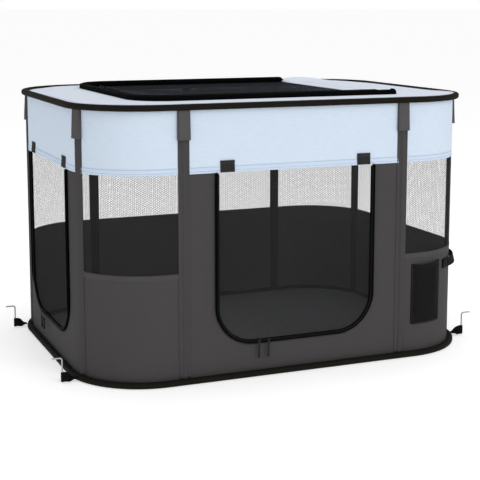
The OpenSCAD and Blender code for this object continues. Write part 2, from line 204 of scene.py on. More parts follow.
def ribbed(name, colour, pitch, relief, roughness=0.7, slant=1.0, specular=0.05):
    """A woven tape: slanting ribs, a straight one on top of them, and uneven yarn."""
    material, tree, shader = new_material(name, colour, roughness, Specular_IOR_Level=specular)
    place = flat_place(tree)
    axes = node(tree, "SeparateXYZ", {0: place})
    along, across = axes.outputs[0], axes.outputs[1]
    twill = wave(tree, maths(tree, "MULTIPLY_ADD", across, slant, along), pitch)
    cords = wave(tree, across, 1.7 * pitch)
    yarn = noise_at(tree, place, 1.2 * MM)
    wear = noise_at(tree, place, 45 * MM, 4.0)
    shade(tree, shader, colour, (twill, 0, 0.16), (cords, 0, 0.1), (yarn, 0.5, 0.3), (wear, 0.5, 0.5))
    rough(tree, shader, wear, roughness - 0.12, roughness + 0.12)
    height = maths(tree, "MULTIPLY_ADD", cords, 0.6, twill)
    raise_up(tree, shader, maths(tree, "MULTIPLY_ADD", yarn, 0.8, height), relief)
    return material


def netted(name, colour, pitch, thread, relief):
    """Knitted mesh: threads of the given width round hexagonal holes that are pitch apart."""
    material, tree, shader = new_material(name, colour, 0.7, Specular_IOR_Level=0.02)
    place = flat_place(tree)
    row = math.sqrt(3) / 2
    cells = node(tree, "VectorMath", {0: place, 3: 1 / pitch}, operation="SCALE").outputs[0]
    middles = []
    for shift in ((0, 0, 0), (row, 0.5, 0)):
        moved = node(tree, "VectorMath", {0: cells, 1: shift}, operation="ADD").outputs[0]
        wrap = {0: moved, 1: (-row, -0.5, 0), 2: (row, 0.5, 1)}
        near = node(tree, "VectorMath", wrap, operation="WRAP").outputs[0]
        near = node(tree, "VectorMath", {0: near}, operation="ABSOLUTE").outputs[0]
        slanted = node(tree, "VectorMath", {0: near, 1: (row, 0.5, 0)}, operation="DOT_PRODUCT")
        straight = node(tree, "SeparateXYZ", {0: near}).outputs[1]
        middles.append(maths(tree, "MAXIMUM", slanted.outputs["Value"], straight))
    reach = maths(tree, "MINIMUM", *middles)
    edge = 0.5 - thread / pitch / 2
    soft = 0.15 * thread / pitch
    limits = {"Value": reach, "From Min": edge - soft, "From Max": edge + soft}
    cover = node(tree, "MapRange", limits).outputs[0]
    tree.links.new(cover, shader.inputs["Alpha"])
    yarn = noise_at(tree, place, 1.5 * MM)
    patches = noise_at(tree, place, 90 * MM, 3.0)
    shade(tree, shader, colour, (yarn, 0.5, 0.5), (patches, 0.5, 0.3))
    raise_up(tree, shader, maths(tree, "MULTIPLY_ADD", yarn, 0.5, reach), relief)
    return material


def fuzzy(name, colour):
    """Hook-and-loop tape: short tangled loops."""
    material, tree, shader = new_material(
        name, colour, 0.9, Sheen_Weight=0.03, Sheen_Roughness=0.4, Specular_IOR_Level=0.06
    )
    place = flat_place(tree)
    loops = node(tree, "TexVoronoi", {"Vector": place, "Scale": 1 / (1.1 * MM)}).outputs["Distance"]
    tangle = noise_at(tree, place, 2.5 * MM, 4.0)
    shade(tree, shader, colour, (loops, 0.5, -0.5), (tangle, 0.5, 0.6))
    raise_up(tree, shader, maths(tree, "MULTIPLY_ADD", tangle, 1.5, loops), 0.4 * MM)
    return material


def metal(name, colour, roughness, brushed, metallic=1.0, specular=0.5):
    """Drawn, plated or painted metal, with fine lines and dull patches where it has been handled."""
    material, tree, shader = new_material(
        name, colour, roughness, Metallic=metallic, Specular_IOR_Level=specular
    )
    place = node(tree, "TexCoord").outputs["Object"]
    lines = noise_at(tree, node(tree, "Mapping", {0: place, 3: brushed}).outputs[0], 1.0 * MM, 3.0)
    dull = noise_at(tree, place, 6 * MM, 4.0)
    shade(tree, shader, colour, (dull, 0.5, 0.5), (lines, 0.5, 0.25))
    rough(tree, shader, dull, roughness - 0.12, roughness + 0.2)
    raise_up(tree, shader, lines, 0.05 * MM)
    return material


def moulded(name, colour, roughness, grain):
    """Moulded plastic or resin with a fine grain."""
    material, tree, shader = new_material(name, colour, roughness, Specular_IOR_Level=0.25)
    place = node(tree, "TexCoord").outputs["Object"]
    fine = noise_at(tree, place, grain, 3.0)
    broad = noise_at(tree, place, 15 * MM, 3.0)
    shade(tree, shader, colour, (fine, 0.5, 0.3), (broad, 0.5, 0.3))
    rough(tree, shader, broad, roughness - 0.1, roughness + 0.15)
    raise_up(tree, shader, fine, 0.1 * MM)
    return material


def thread(name, colour):
    """Twisted sewing thread."""
    material, tree, shader = new_material(name, colour, 0.5, Sheen_Weight=0.2)
    place = node(tree, "TexCoord").outputs["Object"]
    twist = noise_at(tree, place, 0.8 * MM)
    shade(tree, shader, colour, (twist, 0.5, 0.5))
    return material


GREY = woven("grey_cloth", paint(71, 69, 70), 1.1 * MM, 0.12 * MM, mottle=0.03)
# The hem is the wall's own cloth, painted a little lighter: painted light for the folded edge that catches
# the light.
GREY_HEM_PAINTED_LIGHT = woven("grey_hem", paint(75, 73, 74), 1.1 * MM, 0.12 * MM, mottle=0.03)
GREY_POCKET = woven("grey_pocket", paint(84, 82, 83), 1.1 * MM, 0.14 * MM, mottle=0.04)
BLUE = woven("blue_cloth", paint(206, 219, 234), 0.9 * MM, 0.08 * MM, mottle=0.008, roughness=0.75)
BLUE_HEM = woven("blue_hem", paint(200, 215, 234), 0.9 * MM, 0.08 * MM, mottle=0.008, roughness=0.75)
ROOF = woven("roof_cloth", paint(223, 231, 243), 0.9 * MM, 0.08 * MM, mottle=0.008, roughness=0.7)
LINING = woven("lining_cloth", paint(72, 72, 73), 1.1 * MM, 0.1 * MM, mottle=0.03)
# The sleeves' back face, seen from inside the pen: the grey cloth painted much lighter, as painted light
# against the shade there.
SLEEVE_BACK_PAINTED_LIGHT = woven("sleeve_back_painted_light", paint(94, 94, 95), 1.1 * MM, 0.12 * MM, mottle=0.03)
FLOOR_CLOTH = woven("floor_cloth", paint(100, 100, 100), 1.3 * MM, 0.15 * MM, mottle=0.05)
BINDING = ribbed("binding", paint(28, 26, 22), 1.3 * MM, 0.12 * MM)
INNER_TAPE = ribbed("inner_tape", paint(46, 46, 46), 1.3 * MM, 0.12 * MM)
ZIP_TAPE = ribbed("zip_tape", paint(11, 11, 11), 0.9 * MM, 0.06 * MM, specular=0.01)
POCKET_TAPE = ribbed("pocket_tape", paint(25, 25, 25), 0.9 * MM, 0.08 * MM)
WEBBING = ribbed("webbing", paint(19, 18, 18), 2.0 * MM, 0.25 * MM, slant=0.6)
WINDOW_NET = netted("window_mesh", paint(66, 66, 67), 5.4 * MM, 0.74 * MM, 0.05 * MM)
HATCH_NET = netted("hatch_mesh", paint(25, 28, 35), 2.0 * MM, 1.1 * MM, 0.1 * MM)
POCKET_NET = netted("pocket_mesh", paint(27, 27, 27), 1.6 * MM, 1.2 * MM, 0.1 * MM)
HOOK_LOOP = fuzzy("hook_and_loop", paint(45, 45, 44))
COIL = moulded("zip_coil", paint(14, 14, 14), 0.5, 0.4 * MM)
SLIDER_METAL = metal("slider_metal", paint(16, 16, 16), 0.5, (1, 1, 6), metallic=0.0, specular=0.15)
STAKE_STEEL = metal("stake_steel", paint(176, 178, 180), 0.42, (1, 1, 0.15))
SPRING_STEEL = metal("spring_steel", paint(120, 122, 126), 0.35, (1, 1, 1))
ROD = moulded("pole_fibreglass", paint(58, 58, 58), 0.5, 0.5 * MM)
PULL = moulded("pull_cord", paint(22, 22, 22), 0.55, 0.5 * MM)
# The grey and blue seam threads are darker than their cloth. This is partly the thread's own colour and
# partly painted shade, for the dark line along a sewn seam.
GREY_THREAD_AND_SEAM_SHADE = thread("grey_thread_and_seam_shade", paint(30, 29, 30))
BLUE_THREAD_AND_SEAM_SHADE = thread("blue_thread_and_seam_shade", paint(96, 110, 136))
BLACK_THREAD = thread("black_thread", paint(16, 15, 14))
TAPE_THREAD = thread("tape_thread", paint(40, 37, 32))


# ---- the wall's outline ----

def wall_at(s):
    """The place on the wall's outer face, and the direction that the wall faces there."""
    s %= PERIMETER
    x, y, turn = 0.0, -HALF_W, 0.0
    runs = (RUN_X, ARC, 2 * RUN_Y, ARC, 2 * RUN_X, ARC, 2 * RUN_Y, ARC, RUN_X)
    for i, length in enumerate(runs):
        part = min(s, length)
        if i % 2:
            after = turn + part / CORNER_R
            x += CORNER_R * (math.sin(after) - math.sin(turn))
            y -= CORNER_R * (math.cos(after) - math.cos(turn))
            turn = after
        else:
            x += part * math.cos(turn)
            y += part * math.sin(turn)
        s -= part
        if s <= 0:
            break
    return x, y, math.sin(turn), -math.cos(turn)


def on_wall(s, z, out=0.0):
    x, y, facing_x, facing_y = wall_at(s)
    return Vector((x + facing_x * out, y + facing_y * out, z))


def facing(s):
    return Vector((*wall_at(s)[2:], 0))


def heading(s):
    x, y = wall_at(s)[2:]
    return Vector((-y, x, 0))


def ease(value, reach=1.0):
    """0 at 0 and below, 1 at reach and above, smooth between."""
    t = min(max(value / reach, 0.0), 1.0)
    return t * t * (3 - 2 * t)


def slack(u, v, seed=0.0):
    """How taut cloth strays from flat, about -1 to 1: long shallow folds up it and small ones across."""
    long = noise.noise(Vector((8 * u, 2.4 * v, seed)))
    small = noise.noise(Vector((42 * u, 13 * v, seed + 7)))
    return long + 0.25 * small


def pucker(along, away, reach=14 * MM, size=0.35 * MM, pitch=17 * MM):
    """The small gathers that a seam pulls into the cloth beside it."""
    uneven = 2.5 * noise.noise(Vector((along * 22, 3.1, 0)))
    return size * math.sin(2 * math.pi * along / pitch + uneven) * math.exp(-abs(away) / reach)


def steps(lo, hi, step, seams=()):
    """Evenly spaced levels from lo to hi, with extra ones close to each seam."""
    close = [seam + k * MM for seam in seams for k in (-1.6, -0.7, 0, 0.7, 1.6)]
    close = [v for v in close if lo + 0.4 * MM < v < hi - 0.4 * MM]
    count = max(1, round((hi - lo) / step))
    even = [lo + (hi - lo) * i / count for i in range(count + 1)]
    even = [v for v in even if all(abs(v - c) > 1.1 * MM for c in close) or v in (lo, hi)]
    return sorted(set(even + close))


# ---- meshes ----

def build(name, points, faces, flat, material, closed=False):
    """A smooth mesh object. flat holds the place on the flat cloth of each face's corners, in turn."""
    mesh = bpy.data.meshes.new(name)
    mesh.from_pydata([tuple(p) for p in points], [], faces)
    layer = mesh.uv_layers.new(name=CLOTH_MAP)
    layer.data.foreach_set("uv", np.array(flat, np.float32).reshape(-1))
    mesh.materials.append(material)
    if closed:
        solid = bmesh.new()
        solid.from_mesh(mesh)
        bmesh.ops.recalc_face_normals(solid, faces=solid.faces)
        solid.to_mesh(mesh)
        solid.free()
    mesh.shade_smooth()
    made = bpy.data.objects.new(name, mesh)
    bpy.context.scene.collection.objects.link(made)
    return made


def grid(name, us, vs, place, material, flat=None):
    """A sheet of quads; place(u, v) puts it in space and flat(u, v) on the flat cloth."""
    flat = flat or (lambda u, v: (u, v))
    points = [place(u, v) for v in vs for u in us]
    wide = len(us)
    faces, corners = [], []
    for j in range(len(vs) - 1):
        for i in range(wide - 1):
            ring = ((i, j), (i + 1, j), (i + 1, j + 1), (i, j + 1))
            faces.append([b * wide + a for a, b in ring])
            corners += [flat(us[a], vs[b]) for a, b in ring]
    return build(name, points, faces, corners, material)


def inside(points, loop):
    """Which of the points lie inside the loop."""
    found = np.zeros(len(points), bool)
    ends = np.array(loop, float)
    for a, b in zip(ends, np.roll(ends, -1, axis=0)):
        if a[1] != b[1]:
            crosses = (a[1] > points[:, 1]) != (b[1] > points[:, 1])
            at = a[0] + (points[:, 1] - a[1]) * (b[0] - a[0]) / (b[1] - a[1])
            found ^= crosses & (points[:, 0] < at)
    return found


def from_edges(points, loops):
    """How far each point is from the nearest edge of the loops."""
    best = np.full(len(points), np.inf)
    for loop in loops:
        ends = np.array(loop, float)
        for a, b in zip(ends, np.roll(ends, -1, axis=0)):
            along = b - a
            t = np.clip((points - a) @ along / max(along @ along, 1e-12), 0, 1)
            best = np.minimum(best, np.linalg.norm(points - a - t[:, None] * along, axis=1))
    return best


def cut_sheet(name, outline, place, material, holes=(), du=5 * MM, dv=9 * MM):
    """A sheet cut to an outline, with holes; place(u, v, distance from the edge) puts it in space."""
    loops = [outline, *holes]
    lo, hi = np.min(outline, axis=0), np.max(outline, axis=0)
    us = np.arange(lo[0] + du / 2, hi[0], du)
    vs = np.arange(lo[1] + dv / 2, hi[1], dv)
    spread = np.array([(u, v) for v in vs for u in us])
    keep = inside(spread, outline) & (from_edges(spread, loops) > 0.45 * du)
    for hole in holes:
        keep &= ~inside(spread, hole)
    points, edges = [], []
    for loop in loops:
        first = len(points)
        points += [tuple(p) for p in loop]
        edges += [(first + i, first + (i + 1) % len(loop)) for i in range(len(loop))]
    points += [tuple(p) for p in spread[keep]]
    flat_points, _, faces = delaunay_2d_cdt([Vector(p) for p in points], edges, [], 1, 1e-7)[:3]
    flat_points = np.array([tuple(p) for p in flat_points])
    middles = np.array([flat_points[f].mean(axis=0) for f in faces])
    wanted = inside(middles, outline)
    for hole in holes:
        wanted &= ~inside(middles, hole)
    faces = [f for f, w in zip(faces, wanted) if w]
    far = from_edges(flat_points, loops)
    placed = [place(u, v, d) for (u, v), d in zip(flat_points, far)]
    corners = [tuple(flat_points[k]) for f in faces for k in f]
    return build(name, placed, faces, corners, material)


def sweep(name, frames, profile, material, closed=False):
    """Carries a closed profile along frames of (place, side, up, distance along).

    profile is a list of (along side, along up) pairs, or a function of the distance that gives one.
    """
    rings, distances = [], []
    for place, side, up, distance in frames:
        shape = profile(distance) if callable(profile) else profile
        rings.append([place + side * a + up * b for a, b in shape])
        distances.append(distance)
    shape = profile(distances[0]) if callable(profile) else profile
    turns = list(zip(shape, shape[1:] + shape[:1]))
    around = np.concatenate([[0], np.cumsum([math.dist(a, b) for a, b in turns])])
    wide = len(shape)
    if closed:
        distances.append(2 * distances[-1] - distances[-2])
    faces, corners = [], []
    for i in range(len(rings) if closed else len(rings) - 1):
        k = (i + 1) % len(rings)
        for j in range(wide):
            m = (j + 1) % wide
            faces.append((i * wide + j, k * wide + j, k * wide + m, i * wide + m))
            corners += [
                (distances[i], around[j]), (distances[i + 1], around[j]),
                (distances[i + 1], around[j + 1]), (distances[i], around[j + 1]),
            ]
    if not closed:
        for first in (0, len(rings) - 1):
            faces.append([first * wide + j for j in range(wide)])
            corners += [tuple(p) for p in shape]
    points = [p for ring in rings for p in ring]
    return build(name, points, faces, corners, material, closed=True)


def rounded_bar(width, height, radius, turns=4, low=0.0, side=0.0):
    """A bar's profile with round corners, from side and low upwards."""
    r = min(radius, width / 2, height / 2) * 0.999
    points = []
    for cx, cy, start in (
        (width - r, r, -90), (width - r, height - r, 0), (r, height - r, 90), (r, r, 180),
    ):
        for k in range(turns + 1):
            a = math.radians(start + 90 * k / turns)
            points.append((side + cx + r * math.cos(a), low + cy + r * math.sin(a)))
    return points


def thicken(piece, thickness, lining=None, offset=-1.0):
    """Gives a sheet its thickness, away from the side that it faces, and a lining behind it."""
    shell = piece.modifiers.new("Thickness", "SOLIDIFY")
    shell.thickness = thickness
    shell.offset = offset
    if lining:
        piece.data.materials.append(lining)
        shell.material_offset = 1
    return piece


def place_piece(piece, body, slot, *nodes):
    """Puts a finished piece on its body, in place of its CAD nodes; its slot is not used."""
    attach(piece, body)
    if nodes:
        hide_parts(*nodes)
    return piece


# ---- stitches ----

SEAMS = {}


def sew(group, line, lift=0.15 * MM):
    """Adds a row of stitches to a group; line is a list of (place, the way that the cloth faces)."""
    SEAMS.setdefault(group, []).append([(p + n * lift, n) for p, n in line])


def runs_between(corners):
    """Each straight run from corner to corner, as seven evenly spaced points."""
    for a, b in zip(corners, corners[1:]):
        yield [np.array(a) + (np.array(b) - np.array(a)) * k / 6 for k in range(7)]


def stitch_rows(lines, pitch=STITCH_PITCH, wide=1.1 * MM, high=0.3 * MM):
    """The points and faces of every stitch along the lines, each a slim pointed lozenge."""
    starts, ends, ups = [], [], []
    for line in lines:
        places = np.array([tuple(p) for p, _ in line])
        facing_out = np.array([tuple(n) for _, n in line])
        gaps = np.linalg.norm(np.diff(places, axis=0), axis=1)
        along = np.concatenate([[0], np.cumsum(gaps)])
        first = np.arange(pitch / 2, along[-1] - STITCH_LEN, pitch)
        for at, store in ((first, starts), (first + STITCH_LEN, ends)):
            store.append(np.stack([np.interp(at, along, places[:, k]) for k in range(3)], axis=1))
        middle = first + STITCH_LEN / 2
        ups.append(np.stack([np.interp(middle, along, facing_out[:, k]) for k in range(3)], axis=1))
    a, b, up = (np.concatenate(x) for x in (starts, ends, ups))
    along = (b - a) / np.linalg.norm(b - a, axis=1)[:, None]
    side = np.cross(along, up)
    side /= np.linalg.norm(side, axis=1)[:, None]
    middle = (a + b) / 2
    points = np.stack(
        [
            a, b, middle + side * wide / 2, middle - side * wide / 2,
            middle + up * high, middle - up * high,
        ],
        axis=1,
    ).reshape(-1, 3)
    one = np.array([(0, 2, 4), (2, 1, 4), (1, 3, 4), (3, 0, 4), (2, 0, 5), (1, 2, 5), (3, 1, 5), (0, 3, 5)])
    faces = (one[None] + 6 * np.arange(len(a))[:, None, None]).reshape(-1, 3)
    return points, faces


def make_stitches():
    for (name, body, slot, material), lines in SEAMS.items():
        points, faces = stitch_rows(lines)
        flat = np.zeros((len(faces) * 3, 2))
        made = build(name, points, faces.tolist(), flat, material, closed=True)
        place_piece(made, body, slot)


# The grey and blue thread here carries painted seam shade as well as the thread's own colour.
WALL_STITCHES = ("stitching_walls", "root", "grey_cloth", GREY_THREAD_AND_SEAM_SHADE)
VALANCE_STITCHES = ("stitching_valance", "root", "blue_cloth", BLUE_THREAD_AND_SEAM_SHADE)
RIM_STITCHES = ("stitching_rim", "root", "binding", TAPE_THREAD)
BASE_STITCHES = ("stitching_base", "root", "binding", TAPE_THREAD)
SLEEVE_STITCHES = ("stitching_sleeves", "root", "grey_cloth", GREY_THREAD_AND_SEAM_SHADE)
ROOF_STITCHES = ("stitching_roof", "root", "roof_cloth", BLUE_THREAD_AND_SEAM_SHADE)
DARK_STITCHES = ("stitching_fittings", "root", "webbing", TAPE_THREAD)
HATCH_STITCHES = ("stitching_hatch", "hatch", "roof_cloth", BLUE_THREAD_AND_SEAM_SHADE)


# ---- walls ----

def seam_relief(z, seams):
    return -GROOVE * sum(math.exp(-((z - seam) / (0.9 * MM)) ** 2) for seam in seams)


def wall_height(s, z, s0, s1, z0, z1, fold, seams):
    """How far out the cloth of one stretch of wall stands at a place on it."""
    away = min(s - s0, s1 - s)
    level = min(z - z0, z1 - z)
    height = fold * ease(away, 45 * MM) * ease(level, 40 * MM) * slack(s, z)
    for seam in (z0, z1):
        height += pucker(s, z - seam) * ease(away, 12 * MM)
    return height + seam_relief(z, seams)


def wall_cloth(name, s0, s1, z0, z1, material, slot, node_name, group, seams, hem, hem_material,
               fold=1.1 * MM, lining=None):
    """One stretch of wall between two poles, with its folded hem and its rows of stitches."""
    columns = steps(s0, s1, COLUMN)
    hem_inside = hem[1]

    def place(s, z, out=0.0):
        return on_wall(s, z, out + wall_height(s, z, s0, s1, z0, z1, fold, seams))

    def hem_place(s, z):
        thick = HEM_T * ease(abs(z - hem_inside) + 0.3 * MM, 0.8 * MM)
        return place(s, z, thick)

    piece = grid(name, columns, steps(z0, z1, ROW, seams), place, material)
    thicken(piece, CLOTH_T, lining)
    place_piece(piece, "root", slot, node_name)
    rows = steps(min(hem), max(hem), 4 * MM, seams)
    fold_piece = grid(name.replace("cloth", "hem"), columns, rows, hem_place, hem_material)
    thicken(fold_piece, HEM_T)
    place_piece(fold_piece, "root", slot)
    for seam in seams:
        sew(group, [(hem_place(s, seam), facing(s)) for s in columns])
    return piece


VALANCE_SEAMS = (VALANCE_LO.z + 5.5 * MM, VALANCE_LO.z + 15 * MM)
VALANCE_HEM = (VALANCE_LO.z, VALANCE_LO.z + 16.5 * MM)
PANEL_SEAMS = (PANEL_Z - 13.5 * MM,)
PANEL_HEM = (PANEL_Z, PANEL_Z - 15.5 * MM)
STRETCHES = {
    "front": (-POLE_X, POLE_X),
    "corner_front_right": (POLE_X, END_S),
    "right": (END_S, BACK_S - END_S),
    "corner_back_right": (BACK_S - END_S, BACK_S - POLE_X),
    "back": (BACK_S - POLE_X, BACK_S + POLE_X),
    "corner_back_left": (BACK_S + POLE_X, BACK_S + END_S),
    "left": (BACK_S + END_S, PERIMETER - END_S),
    "corner_front_left": (PERIMETER - END_S, PERIMETER - POLE_X),
}
WINDOWED = ("right", "back", *[name for name in STRETCHES if name.startswith("corner")])


def valances():
    """The pale blue band round the top."""
    for name, (s0, s1) in STRETCHES.items():
        owner = "valance_corners" if name.startswith("corner") else "valance_" + name
        wall_cloth(
            "valance_cloth_" + name, s0, s1, VALANCE_LO.z, RIM_LO.z + 6 * MM, BLUE, "blue_cloth",
            owner, VALANCE_STITCHES, VALANCE_SEAMS, VALANCE_HEM, BLUE_HEM,
        )


def lower_panels():
    """The solid grey cloth below the mesh windows."""
    for name in WINDOWED:
        s0, s1 = STRETCHES[name]
        owner = name.replace("corner_", "corner_wall_") if "corner" in name else name + "_wall"
        wall_cloth(
            "lower_cloth_" + name, s0, s1, FLOOR_TOP, PANEL_Z, GREY, "grey_cloth",
            # The hem takes the lighter copy of the grey cloth, as painted light on the fold.
            owner, WALL_STITCHES, PANEL_SEAMS, PANEL_HEM, GREY_HEM_PAINTED_LIGHT, lining=LINING,
        )


def windows():
    """The mesh between the solid panels and the valance."""
    tuck = 5 * MM
    for name in WINDOWED:
        s0, s1 = STRETCHES[name]
        z0, z1 = PANEL_Z - tuck, VALANCE_LO.z + tuck
        owner = "corner_windows" if name.startswith("corner") else name + "_window"

        def place(s, z, s0=s0, s1=s1, z0=z0, z1=z1):
            edge = ease(min(s - s0, s1 - s), 50 * MM) * ease(min(z - z0, z1 - z), 50 * MM)
            return on_wall(s, z, -1.3 * MM + 0.8 * MM * edge * slack(s, z, 3.0))

        piece = grid("window_mesh_" + name, steps(s0, s1, 8 * MM), steps(z0, z1, 12 * MM), place,
                     WINDOW_NET)
        place_piece(piece, "root", "window_mesh", owner)


# ---- doorways ----

def loop_area(outline):
    """The area inside a closed line of flat points."""
    ends = np.array(outline)
    ahead = np.roll(ends, -1, axis=0)
    return abs((ends[:, 0] * ahead[:, 1] - ahead[:, 0] * ends[:, 1]).sum()) / 2


def run_lengths(places):
    """How far along a line of places each of them is."""
    found = [0.0]
    for a, b in zip(places, places[1:]):
        found.append(found[-1] + (b - a).length)
    return found


def frames_along(places, side_of, up):
    """Frames along a line of places, whose side comes from the direction ahead."""
    found = []
    for i, (place, distance) in enumerate(zip(places, run_lengths(places))):
        before, after = places[max(i - 1, 0)], places[min(i + 1, len(places) - 1)]
        found.append((place, side_of((after - before).normalized()), up, distance))
    return found


class Doorway:
    """A U-shaped doorway on a flat stretch of wall, its x measured from its middle."""

    def __init__(self, name, middle, tape_node, x_axis):
        lo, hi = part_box(tape_node)
        self.name = name
        self.middle = middle
        self.half = hi[x_axis]
        self.bottom = lo.z
        self.top = hi.z

    def outline(self, inset, top, step=5 * MM):
        """Points from the top left corner down, round the bottom and up to the top right one."""
        side = self.half - inset
        r = DOOR_R - inset
        centre_z = self.bottom + DOOR_R
        down = steps(centre_z, top, step)[::-1]
        arc = [math.radians(a) for a in np.linspace(180, 270, max(8, round(r * 1.57 / step)))]
        left = [(-side, z) for z in down]
        left += [(r - side + r * math.cos(a), centre_z + r * math.sin(a)) for a in arc[1:]]
        flat_part = steps(r - side, side - r, step)[1:-1]
        bottom = [(x, self.bottom + inset) for x in flat_part]
        right = [(-x, z) for x, z in left[::-1]]
        return left + bottom + right

    def frames(self, inset, top, out=0.0):
        """Frames along the outline, whose side points towards the middle of the door."""
        places = [on_wall(self.middle + x, z, out) for x, z in self.outline(inset, top)]
        up = facing(self.middle)
        return frames_along(places, lambda ahead: up.cross(ahead), up)


FRONT = Doorway("front", 0.0, "front_zip_tape", 0)
SIDE = Doorway("side", LEFT_S, "side_zip_tape", 1)


def door_wall(door, s0, s1, owner):
    """The grey wall round a doorway."""
    z0, z1 = FLOOR_TOP, VALANCE_LO.z + 3 * MM
    notch = [(door.middle + x, z) for x, z in door.outline(2 * MM, z1)]
    outline = [(s0, z1), *[(s0, z) for z in steps(z0, z1, 12 * MM)[::-1][1:]]]
    outline += [(s, z0) for s in steps(s0, s1, 8 * MM)[1:]]
    outline += [(s1, z) for z in steps(z0, z1, 12 * MM)[1:]]
    outline += notch[::-1]

    def place(s, z, edge):
        height = 1.0 * MM * ease(edge, 45 * MM) * slack(s, z, 11.0)
        height += pucker(s, z - z0)
        return on_wall(s, z, height - 0.3 * MM)

    piece = cut_sheet(f"{door.name}_wall_cloth", outline, place, GREY)
    thicken(piece, CLOTH_T, LINING)
    place_piece(piece, "root", "grey_cloth", owner)
    area = loop_area(outline)


def bead(outer, top, rise=0.0):
    """Half of a raised zip: the outer half stands rise higher at its own edge, and the inner half
    slopes down from the slit to the mesh when rise is given."""
    if outer:
        edge = top + rise
        curve = [(0, -0.6 * MM), (0, 0.6 * edge), (0.4, 0.82 * edge), (1.3, edge), (2.2, edge - 0.2 * rise)]
        curve += [(3.4, top), (5.0, top), (6.0, 0.97 * top), (6.5, 0.88 * top), (6.5, -0.6 * MM)]
        return [(a * MM, b) for a, b in curve]
    curve = [(0, -0.6 * MM), (0, 0.6 * top), (0.4, 0.82 * top), (1.3, 0.95 * top), (2.8, top)]
    if rise:
        curve = [(3.0, -0.6 * MM), (3.0, 0.15 * top), (3.6, 0.35 * top), (4.3, 0.62 * top), (4.8, 0.84 * top)]
    curve += [(5.2, top), (6.0, 0.97 * top), (6.5, 0.88 * top), (6.5, -0.6 * MM)]
    return [(ZIP_W - a * MM, b) for a, b in curve]


def zip_coil(name, frames, inset, towards, lift, body):
    """Half of a zip's coil: one small loop of nylon every pitch along the frames."""
    pitch, across, along, high = 2.2 * MM, 2.6 * MM, 1.5 * MM, 1.5 * MM
    line = [(p + side * inset + up * lift, side, up, d) for p, side, up, d in frames]
    at = np.arange(2 * pitch, line[-1][3] - pitch, pitch)
    distances = [d for *_, d in line]
    points, faces = [], []
    ring = [(0, 0, 1), (1, 0, 0), (0, 0, -1), (-1, 0, 0)]
    for d in at:
        k = int(np.searchsorted(distances, d)) - 1
        t = (d - distances[k]) / (distances[k + 1] - distances[k])
        place = line[k][0].lerp(line[k + 1][0], t)
        side, up = line[k][1], line[k][2]
        ahead = side.cross(up)
        first = len(points)
        for step, size in ((-0.5, 0.7), (-0.2, 1.0), (0.3, 1.0), (0.5, 0.6)):
            middle = place + side * towards * across * step
            points += [
                middle + ahead * a * size * along / 2 + up * b * size * high / 2 for a, _, b in ring
            ]
        for j in range(3):
            for m in range(4):
                n = (m + 1) % 4
                low = first + 4 * j
                faces.append([low + m, low + n, low + 4 + n, low + 4 + m])
        faces += [[first + m for m in range(4)], [first + 12 + m for m in (3, 2, 1, 0)]]
    flat = [(0, 0)] * sum(len(f) for f in faces)
    made = build(name, points, faces, flat, COIL, closed=True)
    place_piece(made, body, "zip_tape")


SIDE_BEAD_RISE = 3.6 * MM


def door(way, body, owner_tape, owner_zip, owner_mesh):
    """A mesh door, its zip, and the half of the zip that stays on the wall."""
    top = way.top
    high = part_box(owner_tape)[0]
    high = max(-high.y - HALF_W, -high.x - HALF_L)
    sides = way.frames(0, top)

    def tall_at_sides(d):
        """The outer half stands taller up the door's sides than along its bottom, where the sliders run."""
        up_side = top - way.bottom - min(d, sides[-1][3] - d)
        return bead(True, high, SIDE_BEAD_RISE * ease(up_side - 40 * MM, 60 * MM))

    tape = sweep(f"{way.name}_zip_tape_frame", sides, tall_at_sides, ZIP_TAPE)
    place_piece(tape, "root", "zip_tape", owner_tape)
    rows = way.frames(0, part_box(owner_zip)[1].z)

    def low_at_top(d):
        return bead(False, high * (0.4 + 0.6 * ease(min(d, rows[-1][3] - d), 13 * MM)), 1 * MM)

    leaf = sweep(f"{way.name}_zip_tape_leaf", rows, low_at_top, ZIP_TAPE)
    place_piece(leaf, body, "zip_tape", owner_zip)
    lift = high - 0.3 * MM
    half_coil = 1.3 * MM
    zip_coil(f"{way.name}_zip_coil_frame", rows, TAPE_W - half_coil, 1, lift, "root")
    zip_coil(f"{way.name}_zip_coil_leaf", rows, TAPE_W + ZIP_GAP + half_coil, -1, lift, body)
    mesh_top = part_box(owner_mesh)[1].z
    outline = way.outline(ZIP_W - 5 * MM, mesh_top, 10 * MM)
    outline = [(way.middle + x, z) for x, z in outline]

    def place(s, z, edge):
        return on_wall(s, z, -1.0 * MM + 1.0 * MM * ease(edge, 60 * MM) * slack(s, z, 5.0))

    net = cut_sheet(f"{way.name}_door_net", outline, place, WINDOW_NET, du=12 * MM, dv=12 * MM)
    place_piece(net, body, "window_mesh", owner_mesh)
    loop_area(outline)
    outside = way.frames(-3 * MM, top)
    sew(WALL_STITCHES, [(p + up * 0.4 * MM, up) for p, _, up, _ in outside])


# ---- hoops ----

